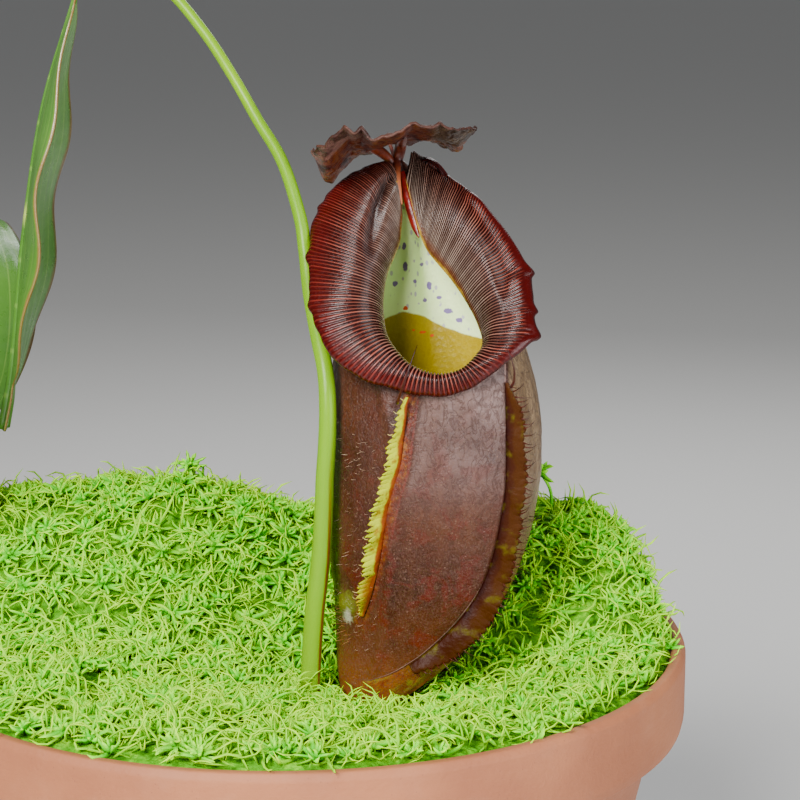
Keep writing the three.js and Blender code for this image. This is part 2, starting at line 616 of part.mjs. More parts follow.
function makeMoss() {
  const rounds = 9;
  const reach = (z) => innerRadius(z) - gap - 0.3;
  const ring = (radius, height) =>
    Array.from({ length: sectors }, (_, j) => {
      const angle = (2 * Math.PI * j) / sectors;
      const [x, y] = [radius * Math.cos(angle), radius * Math.sin(angle)];
      return vec(x, y, height(x, y));
    });
  const rings = [ring(0, () => mossFloor), ring(reach(mossFloor), () => mossFloor), ring(reach(118), () => 118)];
  const rimRadius = reach(potHeight - 2.5);
  for (let k = rounds; k >= 0; k--) rings.push(ring(rimRadius * Math.sqrt(k / rounds), mossHeight));
  const random = randomFrom(7);
  const heads = [];
  const wanted = 46;
  for (let k = 0; k < wanted; k++) {
    // a sunflower's spacing keeps the heads even over the whole cushion
    const radius = (rimRadius - 10) * Math.sqrt((k + 0.5) / wanted);
    const angle = k * 2.39996 + 0.15 * random();
    const [x, y] = [radius * Math.cos(angle), radius * Math.sin(angle)];
    const size = 6.5 + 2.5 * random();
    const turn = random() * Math.PI;
    const nearCup = Math.hypot((x - 38) / 36, (y + 28) / 32) < 1.15;
    const nearStem = Math.hypot(x - stemFoot.x, y - stemFoot.y) < 15;
    const nearTendril = Math.hypot(x - 8, y + 40) < 14;
    if (!nearCup && !nearStem && !nearTendril) heads.push(makeMossHead(x, y, size, turn));
  }
  const bed = filled(wasm.Manifold.union([solidOf(skin(rings)), ...heads]));
  const holeLine = new THREE.LineCurve3(stemFoot.clone().setZ(121.3), stemTop);
  const stemHole = rod(holeLine, () => stemRadius * 1.05 + gap + 0.25, 12, 2);
  const [x, y, z] = tendrilEnd;
  const endRoom = new THREE.IcosahedronGeometry(3.4, 1).translate(x, y, z);
  const rooms = [makeCupPocket(), solidOf(makeTendril(gap + 0.3)), solidOf(endRoom), solidOf(stemHole)];
  return filled(bed.subtract(wasm.Manifold.union(rooms)));
}

// ---------- the whole plant ----------

addNode("pot", makePot(), 0xa9532f, 0.7);
addNode("growing_mix", makeMix(), 0x3a2618, 0.95);
addNode("moss_bed", makeMoss(), 0x7cc614, 0.85);
addNode("stem", makeStem(), 0x6f7d34, 0.6);
for (const [name, leaf] of Object.entries(leaves)) addNode(name, makeLeaf(leaf), 0x3f7a22, 0.45);
addNode("leaf_pitcher", makePitcherLeaf(), 0x3f7a22, 0.45);
addNode("leaf_young", makeYoungLeaf(), 0x86b13a, 0.5);
addNode("tendril", makeTendril(0), 0xb4dc1e, 0.4);
addNode("pitcher_cup", makeCup(), 0x5a2620, 0.45);
addNode("peristome", makeCollar(), 0x6d0f12, 0.3);
for (const [name, wing] of Object.entries(wings)) addNode(name, makeWing(wing), 0xa8702a, 0.55);
addNode("lid", makeLid(), 0x7a3a22, 0.55);
addNode("spur", makeSpur(), 0x8a4a2a, 0.6);

export default plant;
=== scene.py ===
import json
import math
import random
from functools import lru_cache

import bmesh
import bpy
from mathutils import Matrix, Vector, noise

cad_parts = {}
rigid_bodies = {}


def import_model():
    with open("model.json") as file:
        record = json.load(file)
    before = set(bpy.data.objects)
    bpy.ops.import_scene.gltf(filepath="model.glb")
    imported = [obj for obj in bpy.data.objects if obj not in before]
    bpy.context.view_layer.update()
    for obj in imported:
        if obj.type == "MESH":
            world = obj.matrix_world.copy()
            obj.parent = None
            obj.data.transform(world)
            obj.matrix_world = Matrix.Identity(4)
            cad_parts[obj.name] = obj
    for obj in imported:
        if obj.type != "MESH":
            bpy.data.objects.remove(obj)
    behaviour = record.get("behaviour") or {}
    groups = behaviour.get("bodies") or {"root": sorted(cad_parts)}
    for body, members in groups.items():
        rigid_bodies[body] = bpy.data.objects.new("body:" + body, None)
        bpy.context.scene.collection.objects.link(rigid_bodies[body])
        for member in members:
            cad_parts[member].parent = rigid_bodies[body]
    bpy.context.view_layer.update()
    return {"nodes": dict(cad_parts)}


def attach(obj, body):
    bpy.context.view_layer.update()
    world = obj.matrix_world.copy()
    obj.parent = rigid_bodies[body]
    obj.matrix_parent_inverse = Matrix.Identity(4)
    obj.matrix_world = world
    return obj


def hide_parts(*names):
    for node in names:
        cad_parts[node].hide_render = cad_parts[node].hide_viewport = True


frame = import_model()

mm = 0.001  # lengths below are in millimetres until a point is placed
fullTurn = 2 * math.pi
skyward = Vector((0, 0, 1))
lineSteps = 24  # measured steps for each point of a line
headingReach = 0.004  # how far to both sides a line's heading is taken
weldGap = 2e-6  # metres
plainGloss = 0.5


def lerp(a, b, share):
    return a + (b - a) * share


def clamped(x):
    return min(max(x, 0), 1)


def smoothStep(x, low, high):
    share = clamped((x - low) / (high - low))
    return share * share * (3 - 2 * share)


def window(x, begin, full, fade, end):  # 1 between full and fade, 0 before begin and after end
    return smoothStep(x, begin, full) * (1 - smoothStep(x, fade, end))


def bump(x, centre, width):
    return math.exp(-((x - centre) / width) ** 2)


def waver(x, y=0, z=0):  # smooth noise between -1 and 1
    return noise.noise(Vector((x, y, z)))


def around(turn, reach=1.0, z=0.0):  # a point on a level circle round the Z axis
    return Vector((reach * math.cos(turn), reach * math.sin(turn), z))


def valueAt(pairs, x):  # a smooth curve through (x, value) pairs
    last = len(pairs) - 1
    k = 0
    while k < last - 1 and x >= pairs[k + 1][0]:
        k += 1
    span = pairs[k + 1][0] - pairs[k][0]
    share = clamped((x - pairs[k][0]) / span)

    def slopeAt(i):
        before, after = pairs[max(i - 1, 0)], pairs[min(i + 1, last)]
        return (after[1] - before[1]) / (after[0] - before[0]) * span
    s2, s3 = share ** 2, share ** 3
    ends = (2 * s3 - 3 * s2 + 1) * pairs[k][1] + (3 * s2 - 2 * s3) * pairs[k + 1][1]
    return ends + (s3 - 2 * s2 + share) * slopeAt(k) + (s3 - s2) * slopeAt(k + 1)


class Line:  # a smooth line through points in millimetres
    def __init__(self, points):
        self.points = [Vector(p) for p in points]
        self.spans = len(points) - 1
        self.steps = lineSteps * len(points)
        self.lengths = [0.0]
        before = self.at(0)
        for k in range(1, self.steps + 1):
            here = self.at(k / self.steps)
            self.lengths.append(self.lengths[-1] + (here - before).length)
            before = here

    def at(self, t):
        place = self.spans * clamped(t)
        k = min(int(place), self.spans - 1)
        p1, p2 = self.points[k], self.points[k + 1]
        p0 = self.points[k - 1] if k else 2 * p1 - p2
        p3 = self.points[k + 2] if k + 1 < self.spans else 2 * p2 - p1
        w = place - k
        m1, m2 = (p2 - p0) / 2, (p3 - p1) / 2
        return (p1 + w * m1 + w * w * (-3 * p1 + 3 * p2 - 2 * m1 - m2)
                + w ** 3 * (2 * p1 - 2 * p2 + m1 + m2))

    def even(self, s):  # the knot share at an even share of the length
        goal = clamped(s) * self.lengths[-1]
        low, high = 0, self.steps
        while high - low > 1:
            middle = (low + high) // 2
            low, high = (middle, high) if self.lengths[middle] <= goal else (low, middle)
        part = (goal - self.lengths[low]) / max(self.lengths[high] - self.lengths[low], 1e-9)
        return (low + part) / self.steps

    def atLength(self, s):
        return self.at(self.even(s))

    def heading(self, s):
        t = self.even(s)
        return (self.at(t + headingReach) - self.at(t - headingReach)).normalized()


def sheet(columns, rows, place, wrap=False):  # a grid whose points place(u, v) sets, in millimetres
    bm = bmesh.new()
    uvLayer = bm.loops.layers.uv.new("UVMap")
    bmesh.ops.create_grid(bm, x_segments=columns, y_segments=rows, size=0.5)
    for face in bm.faces:
        for loop in face.loops:
            loop[uvLayer].uv = (loop.vert.co.x + 0.5, loop.vert.co.y + 0.5)
    for vert in bm.verts:
        vert.co = place(clamped(vert.co.x + 0.5), clamped(vert.co.y + 0.5)) * mm
    if wrap:
        bmesh.ops.remove_doubles(bm, verts=bm.verts, dist=weldGap)
    return bm


def faceOut(bm, wayAt):  # turns an open surface so that it mostly faces the way wanted at each face
    bm.normal_update()
    if sum(face.normal.dot(wayAt(face)) * face.calc_area() for face in bm.faces) < 0:
        bmesh.ops.reverse_faces(bm, faces=bm.faces)


def tube(line, radiusAt, sides=12, steps=60):  # a closed round rod along a line
    frames = []
    side = Vector((0.3, 1, 0.2))
    for k in range(steps + 1):
        ahead = line.heading(k / steps)
        side = (side - ahead * side.dot(ahead)).normalized()
        frames.append((line.atLength(k / steps), side.copy(), ahead.cross(side)))

    def place(u, v):
        k = round(v * (steps + 2)) - 1
        centre, across, up = frames[min(max(k, 0), steps)]
        turn = fullTurn * u
        reach = radiusAt(k / steps, turn) if 0 <= k <= steps else 0
        return centre + (across * math.cos(turn) + up * math.sin(turn)) * reach
    bm = sheet(sides, steps + 2, place, wrap=True)
    bmesh.ops.recalc_face_normals(bm, faces=bm.faces)
    return bm


def meshOf(name, bm):  # the bmesh is used up
    mesh = bpy.data.meshes.new(name)
    bm.to_mesh(mesh)
    bm.free()
    return mesh


def addObject(name, data):
    thing = bpy.data.objects.new(name, data)
    bpy.context.collection.objects.link(thing)
    return thing


def addTo(target, part):  # moves one bmesh into another
    mesh = meshOf("part", part)
    target.from_mesh(mesh)
    bpy.data.meshes.remove(mesh)


def addCopy(target, template, matrix):  # adds a moved copy of a small mesh
    copied = template.copy()
    copied.transform(matrix)
    target.from_mesh(copied)
    bpy.data.meshes.remove(copied)


def finishPiece(name, bm, materials, slot, *nodes):
    for face in bm.faces:
        face.smooth = True
    mesh = meshOf(name, bm)
    piece = addObject(name, mesh)
    for material in materials:
        mesh.materials.append(material)
    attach(piece, "root")
    if nodes:
        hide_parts(*nodes)
    print(name + ":", len(mesh.polygons), "faces")
    return piece


def thicken(piece, thickness, backMaterial=0):  # gives a sheet its wall, behind its face
    solid = piece.modifiers.new("thickness", "SOLIDIFY")
    solid.thickness = thickness * mm
    solid.offset = -1
    solid.material_offset = backMaterial


class Finish:  # one material and its nodes
    def __init__(self, name, roughness=0.5):
        self.material = bpy.data.materials.new(name)
        self.material.use_nodes = True
        self.nodes = self.material.node_tree.nodes
        self.links = self.material.node_tree.links
        self.shader = self.nodes["Principled BSDF"]
        self.rough(roughness)
        self.coords = self.nodes.new("ShaderNodeTexCoord")
        split = self.node("SeparateXYZ", Vector=self.coords.outputs["UV"])
        self.u, self.v = split.outputs["X"], split.outputs["Y"]

    def put(self, value, socket):  # a number, a vector, a colour or another node's output
        if isinstance(value, bpy.types.NodeSocket):
            self.links.new(value, socket)
        else:
            socket.default_value = (*value, 1) if socket.type == "RGBA" else value

    def node(self, kind, **inputs):
        node = self.nodes.new("ShaderNode" + kind)
        for name, value in inputs.items():
            self.put(value, node.inputs[name])
        return node

    def stretched(self, stretch):
        source = self.coords.outputs["Object"]
        if stretch is None:
            return source
        return self.node("Mapping", Vector=source, Scale=stretch).outputs["Vector"]

    def noise(self, scale, detail=3, stretch=None, roughness=0.55, distortion=0.0):
        return self.node("TexNoise", Vector=self.stretched(stretch), Scale=scale, Detail=detail,
                         Roughness=roughness, Distortion=distortion).outputs["Fac"]

    def spots(self, scale, stretch=None, feature="F1"):
        node = self.node("TexVoronoi", Vector=self.stretched(stretch), Scale=scale)
        node.feature = feature
        return node.outputs["Distance"]

    def height(self):  # metres above the pot's underside
        return self.node("SeparateXYZ", Vector=self.coords.outputs["Object"]).outputs["Z"]

    def maths(self, operation, a, b=0.0):
        node = self.node("Math")
        node.operation = operation
        self.put(a, node.inputs[0])
        self.put(b, node.inputs[1])
        return node.outputs[0]

    def both(self, *shares):  # the product of several masks
        product = shares[0]
        for share in shares[1:]:
            product = self.maths("MULTIPLY", product, share)
        return product

    def rest(self, share):
        return self.maths("SUBTRACT", 1.0, share)

    def away(self, value, middle):  # how far a value is from a middle
        return self.maths("ABSOLUTE", self.maths("SUBTRACT", value, middle))

    def wander(self, value, scale, reach):  # a value pushed about by noise
        push = self.maths("MULTIPLY", self.maths("SUBTRACT", self.noise(scale, 4), 0.5), reach)
        return self.maths("ADD", value, push)

    def ramp(self, source, *stops):  # stops are (place, value or colour)
        node = self.node("ValToRGB")
        band = node.color_ramp
        band.interpolation = "EASE"
        while len(band.elements) < len(stops):
            band.elements.new(0.5)
        for element, (place, value) in zip(band.elements, stops):
            element.position = place
            element.color = (*value, 1) if isinstance(value, tuple) else (value, value, value, 1)
        self.put(source, node.inputs[0])
        return node.outputs["Color"]

    def rise(self, source, low, high, top=1.0):  # 0 up to low, and top from high on
        return self.ramp(source, (low, 0.0), (high, top))

    def fall(self, source, low, high, top=1.0):
        return self.ramp(source, (low, top), (high, 0.0))

    def mix(self, share, a, b):
        node = self.node("Mix")
        node.data_type = "RGBA"
        for value, index in ((share, 0), (a, 6), (b, 7)):
            self.put(value, node.inputs[index])
        return node.outputs[2]

    def mask(self, name):  # a value kept on the piece's points
        node = self.node("Attribute")
        node.attribute_name = name
        return node.outputs["Fac"]

    def mark(self, x, z, width, height, core=0.7):  # a ragged blot, placed as the front view shows it
        centred = self.node("Mapping", Vector=self.coords.outputs["Object"],
                            Scale=(1 / (width * mm), 0, 1 / (height * mm)),
                            Location=(-x / width, 0, -z / height))
        reach = self.node("VectorMath")
        reach.operation = "LENGTH"
        self.put(centred.outputs["Vector"], reach.inputs[0])
        return self.fall(self.wander(reach.outputs["Value"], 900, 1.1), core, 0.95)

    def rough(self, value):
        self.put(value, self.shader.inputs["Roughness"])

    def coat(self, weight, roughness):
        self.shader.inputs["Coat Weight"].default_value = weight
        self.shader.inputs["Coat Roughness"].default_value = roughness

    def soft(self, weight, radius):  # light that spreads inside thin living tissue
        self.shader.inputs["Subsurface Weight"].default_value = weight
        self.shader.inputs["Subsurface Radius"].default_value = radius
        self.shader.inputs["Subsurface Scale"].default_value = 1

    def finished(self, tone, gloss=plainGloss, *bumps):  # bumps are (height, depth in millimetres)
        self.put(tone, self.shader.inputs["Base Color"])
        self.shader.inputs["Specular IOR Level"].default_value = gloss
        entry = self.shader.inputs["Normal"]
        for height, depth in reversed(bumps):  # each lies over the one before
            node = self.node("Bump", Height=height, Distance=depth * mm)
            self.links.new(node.outputs["Normal"], entry)
            entry = node.inputs["Normal"]
        return self.material


view = {
    "target": (32, -25, 217),
    "distance": 635,
    "elevation": 12,
    "lens": 100,
    "sensor": 36,
}


def makeCamera():
    data = bpy.data.cameras.new("camera")
    data.lens = view["lens"]
    data.sensor_width = view["sensor"]
    camera = addObject("camera", data)
    tilt = math.radians(view["elevation"])
    back = Vector((0, -math.cos(tilt), math.sin(tilt))) * view["distance"]
    camera.location = (Vector(view["target"]) + back) * mm
    camera.rotation_euler = (math.pi / 2 - tilt, 0, 0)
    bpy.context.scene.camera = camera


makeCamera()
print("camera placed")


# The mouth is a sloping plane. Points on it are across, up the slope, and out of it.
collar = {
    "front": (32, -53, 230),
    "slope": 42.8,  # degrees
    "ribs": 190,
    "columnsPerRib": 6,
    "rows": 38,
    "thickness": 0.9,
    "ribHeight": 0.6,
    "fan": 0.75,  # how far the ribs lean towards the neck as they run out to the margin
    "rollRadius": 1.1,
    "rollStart": 0.9,
    "rollTurn": 215,  # degrees
    "ribMeasure": 0.6,  # how far across it the ribs are spread evenly
    "waves": ((0.54, 26, 3.1), (0.45, 61, 7.7)),  # of the margin: height, how often, and where they start
    # where the margin comes to a point, round the mouth, and how far it stands out
    "points": ((0.16, 0.9), (0.235, 0.9), (0.3, 0.9), (0.633, 1.9), (0.667, 1.7), (0.716, 2.1),
               (0.834, 2.4)),
    "pointWidth": 0.007,
    # the upper right lobe opens wider, and is drawn in again above that: place, width, reach
    "swings": ((0.8, 0.12, 1.5), (0.905, 0.036, -3)),
    "rightLobe": (0.53, 0.6, 0.9, 0.97),  # where the margin is smooth, without ribs
    "marginLift": 4.4,  # how far the right lobe's smooth margin is turned up to the front
    "liftEnds": (0.53, 0.6, 0.8, 0.88),
    # the crease of the left lobe and the hollow of the right one: ends round the mouth, then the place
    # and width across it, and the depth
    "sunk": (((0.03, 0.06, 0.17, 0.26), 0.42, 0.09, 1.9), ((0.64, 0.73, 0.89, 0.94), 0.74, 0.17, 1.7)),
    # three lines that the ribs cross, from the left of the neck round the front to its right
    "inner": (
        (-0.8, 70, -1.5), (-0.5, 66, -3), (0, 62, -5), (0, 57.5, -7), (-0.5, 52.5, -8), (-2, 47.5, -8),
        (-4, 41, -8), (-5, 33, -8), (-5, 25.5, -8), (-4, 17.5, -8), (-1.5, 11, -8), (3.5, 5.5, -8),
        (10, 3, -8), (17, 4, -8), (22, 10, -8), (23.5, 16.5, -8), (22, 24, -8), (19, 31.5, -8),
        (15, 39, -8), (11, 45, -8), (8, 50, -8), (6, 55, -7), (4.2, 61, -5), (2.8, 66, -3), (1.6, 71, -1.5)),
    "crest": (
        (-2.2, 74.5, 0), (-3.6, 71.5, 0), (-5.3, 67.3, 1), (-7.5, 61, 1), (-9, 53, 2), (-10.2, 45, 2),
        (-10.7, 36, 2), (-10.6, 27.5, 2), (-9.5, 20, 2), (-7, 12.7, 2), (-2.7, 7, 1), (2.7, 2.3, 0),
        (10, -0.5, 0), (17, 1.2, 0), (22.5, 6, 1), (26.5, 11, 2), (27.7, 20.5, 2), (26.5, 30, 2),
        (24.3, 41, 2), (20, 52, 2), (15, 61, 2), (10.4, 69, 1), (7, 73, 1), (4.8, 75.8, 0), (3, 76.6, 0)),
    "margin": (
        (-5, 76.5, 0), (-9.8, 74.5, 0), (-14.5, 71.5, 0), (-19, 66, 0), (-22.5, 58, 0), (-25, 48.5, 0),
        (-25, 38, 0), (-24.3, 26.5, 0), (-21.8, 15, 0), (-16.5, 5.7, -1), (-8.7, 0, -2), (0.5, -2.3, -3),
        (10.3, -4, -3), (19.6, -1.6, -3), (28.2, 3, -2), (35.8, 10, -1), (35.8, 19.5, 0), (35.3, 31.5, 0),
        (31.2, 43.5, 0), (25.2, 55, 0), (19.6, 64.5, 0), (13.8, 72, 0), (9, 76.2, 0), (6, 78.5, 0),
        (3.8, 80, 0)),
}
mouthSlope = math.radians(collar["slope"])
upSlope = Vector((0, math.cos(mouthSlope), math.sin(mouthSlope)))
outOfMouth = Vector((0, -math.sin(mouthSlope), math.cos(mouthSlope)))


def onMouth(across, up, out):
    return Vector(collar["front"]) + Vector((across, 0, 0)) + up * upSlope + out * outOfMouth


collarLines = [Line([onMouth(*point) for point in collar[name]]) for name in ("inner", "crest", "margin")]


@lru_cache(None)
def collarKnots(share):
    inner, crest, margin = (line.at(share) for line in collarLines)
    return inner, 2 * crest - (inner + margin) / 2, margin


def collarPoint(share, across):  # 0 at the inner edge, 0.5 on the crest, 1 at the margin
    inner, pull, margin = collarKnots(share)
    rest = 1 - across
    return inner * rest * rest + pull * 2 * across * rest + margin * across * across


def alongCollar(share, across, step=0.01):  # the way round the mouth
    return collarPoint(share + step, across) - collarPoint(share - step, across)


def collarNormal(share, across, step=0.01):
    out = collarPoint(share, across + step) - collarPoint(share, across - step)
    return out.cross(alongCollar(share, across)).normalized()


def evenRounds(count):  # knot shares that lie evenly along the crest
    fine = 500
    lengths = [0.0]
    for k in range(1, fine + 1):
        here, before = (collarPoint(j / fine, collar["ribMeasure"]) for j in (k, k - 1))
        lengths.append(lengths[-1] + (here - before).length)
    shares = []
    k = 0
    for n in range(count + 1):
        goal = lengths[-1] * n / count
        while k < fine - 1 and lengths[k + 1] < goal:
            k += 1
        shares.append(min((k + (goal - lengths[k]) / (lengths[k + 1] - lengths[k])) / fine, 1))
    return shares


def marginReach(share):  # how far the margin swings out
    swing = sum(height * waver(share * often, start) for height, often, start in collar["waves"])
    swing += sum(reach * bump(share, place, collar["pointWidth"]) for place, reach in collar["points"])
    swing += sum(reach * bump(share, place, width) for place, width, reach in collar["swings"])
    return swing * smoothStep(min(share, 1 - share), 0.0, 0.05)


def sunkDepth(share, across):  # how far the crease and the hollow lie below
    return sum(depth * window(share, *ends) * bump(across, middle, width)
               for ends, middle, width, depth in collar["sunk"])


roundSteps = 600
collarRounds = evenRounds(roundSteps)


def fannedRound(u, across):  # the knot share of a rib at one point of its way out
    near = abs(2 * u - 1)  # 0 at the front, 1 at the neck
    near += collar["fan"] * across * near * near * (1 - near)
    place = clamped(0.5 + math.copysign(near / 2, u - 0.5)) * roundSteps
    k = min(int(place), roundSteps - 1)
    return lerp(collarRounds[k], collarRounds[k + 1], place - k)


def makeCollar():
    perRib, rollStart = collar["columnsPerRib"], collar["rollStart"]
    columns = collar["ribs"] * perRib

    def place(u, v):
        rib, phase = divmod(round(u * columns), perRib)
        across = min(v / rollStart, 1)
        share = fannedRound(u, across)
        reach = marginReach(share)
        normal = collarNormal(share, across)
        out = alongCollar(share, across, 0.005).cross(normal).normalized()
        point = collarPoint(share, across) + out * reach * smoothStep(v, 0.55, 0.92)
        lifted = window(share, *collar["liftEnds"]) * smoothStep(v, 0.5, 0.95)
        point += outOfMouth * collar["marginLift"] * lifted
        if v > rollStart:  # the margin rolls over and under
            turn = (v - rollStart) / (1 - rollStart) * math.radians(collar["rollTurn"])
            roll = collar["rollRadius"] * (1 + 0.12 * reach)
            point += out * roll * math.sin(turn) - normal * roll * (1 - math.cos(turn))
        ridge = (math.sin(math.pi * (phase / perRib)) ** 0.8 - 0.5) * (1 + 0.3 * waver(rib * 0.7, v * 3))
        plainBand = 0.1 * window(share, *collar["rightLobe"])
        strength = window(v, 0, 0.08, 0.84 - plainBand, 0.93 - plainBand)
        lift = collar["thickness"] / 2 + collar["ribHeight"] * ridge * strength
        lift += 0.6 * waver(share * 14, v * 2.2, 5.5) * smoothStep(v, 0.35, 0.8)
        return point + normal * (lift - sunkDepth(share, across))
    bm = sheet(columns, collar["rows"], place)
    faceOut(bm, lambda face: outOfMouth)
    return bm


def collarFinish():
    paint = Finish("collar ribbed maroon", 0.3)
    ribs = paint.maths("MULTIPLY", paint.u, collar["ribs"])
    ridge = paint.maths("SINE", paint.maths("MULTIPLY", paint.maths("FRACT", ribs), math.pi))
    oneRib = paint.node("TexWhiteNoise")
    oneRib.noise_dimensions = "1D"
    paint.put(paint.maths("FLOOR", ribs), oneRib.inputs["W"])
    placed = paint.wander(paint.v, 180, 0.05)
    # the crests are painted paler than the grooves as painted highlights along the ribs, and the grey-brown
    # band just inside the yellow inner edge is a painted reflection
    groove = paint.ramp(
        placed, (0.0, (0.36, 0.2, 0.012)), (0.025, (0.06, 0.014, 0.004)), (0.08, (0.045, 0.025, 0.018)),
        (0.18, (0.026, 0.01, 0.006)), (0.4, (0.01, 0.001, 0.0008)), (0.7, (0.014, 0.0006, 0.0005)),
        (0.86, (0.036, 0.0008, 0.0006)), (1.0, (0.024, 0.0006, 0.0005)))
    crest = paint.ramp(
        placed, (0.0, (0.56, 0.42, 0.05)), (0.025, (0.13, 0.06, 0.022)), (0.08, (0.27, 0.2, 0.155)),
        (0.18, (0.24, 0.165, 0.13)), (0.4, (0.23, 0.1, 0.07)), (0.68, (0.2, 0.045, 0.028)),
        (0.84, (0.12, 0.013, 0.009)), (1.0, (0.022, 0.0005, 0.0004)))
    share = paint.both(paint.rise(ridge, 0.76, 1.0),
                       paint.ramp(oneRib.outputs["Value"], (0.0, 0.35), (1.0, 1.0)))
    # the right lobe ends in a smooth margin
    smooth = paint.both(paint.ramp(paint.u, (0.53, 0.0), (0.59, 1.0), (0.86, 1.0), (0.95, 0.0)),
                        paint.rise(paint.v, 0.76, 0.82))
    share = paint.both(share, paint.rest(smooth))
    tone = paint.mix(share, groove, crest)
    # painted shade darkens the crease of the left lobe
    creaseShade = paint.both(paint.fall(paint.away(paint.v, 0.39), 0.02, 0.1),
                        paint.ramp(paint.u, (0.02, 0.0), (0.06, 0.85), (0.2, 0.6), (0.27, 0.0)))
    tone = paint.mix(creaseShade, tone, (0.008, 0.0012, 0.001))
    neck = paint.rise(paint.u, 0.935, 0.975, 0.75)
    paint.rough(paint.ramp(paint.noise(600, 3), (0.3, 0.2), (0.75, 0.34)))
    tone = paint.mix(paint.both(neck, share), tone, (0.26, 0.19, 0.15))
    return paint.finished(tone, 0.22, (paint.noise(1500, 3), 0.06))


thicken(finishPiece("collar", makeCollar(), [collarFinish()], "peristome", "peristome"), collar["thickness"])


# Two smooth keels run down from the lid's stalk, just inside the collar's inner edges.
keels = {
    "left": {"top": (30.3, 2.2, 279.2), "from": 0.0, "to": 0.13, "aside": 0.2,
             "radius": ((0, 0.6), (0.4, 0.5), (0.8, 0.4), (1, 0.15))},
    "right": {"top": (32.6, 1.8, 279.4), "from": 1.0, "to": 0.87, "aside": -0.8,
              "radius": ((0, 0.7), (0.35, 1.0), (0.8, 0.95), (1, 0.2))},
}
keelFlatness = (0.55, 1.25)  # its half width from front to back and from side to side
keelKnots = 8


def makeKeels():
    deep, wide = keelFlatness
    bm = bmesh.new()
    for keel in keels.values():
        points = [keel["top"]]
        for k in range(keelKnots + 1):
            share = lerp(keel["from"], keel["to"], k / keelKnots)
            aside = keel["aside"] * min(1, 0.5 + k / 4)
            points.append(collarPoint(share, 0) + Vector((aside, 0, 0)) - 0.4 * outOfMouth)

        def radiusAt(s, turn):
            return valueAt(keel["radius"], s) / math.hypot(math.cos(turn) / deep, math.sin(turn) / wide)
        addTo(bm, tube(Line(points), radiusAt, 14, 48))
    return bm


def keelFinish():
    paint = Finish("keel smooth dark red", 0.3)
    tone = paint.ramp(paint.noise(420, 3), (0.4, (0.07, 0.001, 0.0008)), (0.62, (0.13, 0.002, 0.001)))
    return paint.finished(tone, 0.35, (paint.noise(900, 3), 0.1))


finishPiece("collar_keels", makeKeels(), [keelFinish()], "peristome")


cup = {
    "columns": 240,
    "rows": 150,
    "wall": 1.2,
    "bottom": 125.5,
    "lowestRing": 126.2,
    "shoulder": 207,  # above this the wall leans in to the mouth
    "shoulderShare": 0.66,  # of the rows, that lie below it
    "inside": (42, -25, 196),  # a point that its wall faces away from
    "evened": (212, -6, 30),  # the back wall below the neck: above, behind, and how often
    "front": -74,  # degrees, the way the pitcher faces
    "neckSpread": 11,
    "neckTop": (32, 8.2, 284.3),
    "seat": 0.38,  # how far across the collar the wall meets it
    "wingAngles": (-112, -38),
    "knob": (17.5, -38, 160),  # the pale green bulge low on the left, and its marks as (x, z, width, height, colour): its green tint, then a pale painted highlight below it
    "knobTintAndHighlight": ((17, 160.5, 4.6, 6.5, (0.085, 0.1, 0.004)), (17, 157, 1.9, 3.6, (0.36, 0.34, 0.24))),
    "middleX": ((127, 20.5), (131, 24), (138, 28.5), (145, 32.5), (152, 35.5), (161, 38), (172, 39.6),
                (184, 41), (196, 42), (210, 42)),
    "middleY": ((127, -37), (138, -32), (152, -27.5), (172, -25.5), (210, -25)),
    "halfWidth": ((127, 3.2), (131, 8.5), (138, 14.5), (145, 18.8), (152, 22), (161, 25.2), (172, 28),
                  (184, 29.8), (196, 30.5), (210, 30.5)),
    "halfDepth": ((127, 3), (131, 7), (138, 12.5), (145, 16.5), (152, 19.5), (161, 22.5), (172, 24.8),
                  (184, 26.2), (196, 27), (210, 27)),
    # how high the pale waxy wall starts on the inside, from left to right
    "waxyFrom": ((20, 233), (26.5, 235.4), (32.3, 238), (36, 237.3), (43, 234.2), (52.6, 231.1), (70, 229)),
    # blots on the inside, as (x, z, width, height)
    "purpleMarks": ((33.6, 251.5, 0.7, 1.5), (30.6, 246.5, 0.7, 0.8), (36.4, 247, 0.5, 0.6),
                    (38.4, 251.5, 0.6, 0.6), (40.7, 245.2, 0.7, 1.2), (39.4, 241, 0.6, 0.5),
                    (46.2, 238, 1.3, 0.8), (49.6, 235.5, 1, 0.7), (33.2, 257.5, 0.5, 1),
                    (43.6, 241.8, 0.8, 0.5)),
    "redMarks": ((33.6, 239.2, 0.9, 0.7), (38.8, 231.8, 1.1, 0.45), (41.5, 230.6, 0.7, 0.45),
                 (36, 232.6, 0.5, 0.35)),
    # creases down the front panel, as (x, z) points, and how deep each is
    "creases": (
        (((46.3, 223.6), (47.1, 218.5), (47.7, 214), (45.7, 207.3), (42.4, 200.8)), 0.45),
        (((59.5, 224), (54, 220.5), (49, 217.2)), 0.35),
        (((42.4, 200.8), (40.2, 186.2), (38.9, 169.4)), 0.25),
    ),
}


@lru_cache(None)
def cupSliceSizes(z):  # the middle and the half sizes of the cup's outline at a height
    return tuple(valueAt(cup[name], z) for name in ("middleX", "middleY", "halfWidth", "halfDepth"))


def cupSlice(angle, z):
    x, y, a, b = cupSliceSizes(z)
    return Vector((x + a * math.cos(angle), y + b * math.sin(angle), z))


def insideCup(point, grow):  # whether a point is within the cup's outline at its height
    if point.z < cup["bottom"] - grow:
        return False
    x, y, a, b = cupSliceSizes(point.z)
    return ((point.x - x) / (a + grow)) ** 2 + ((point.y - y) / (b + grow)) ** 2 < 1


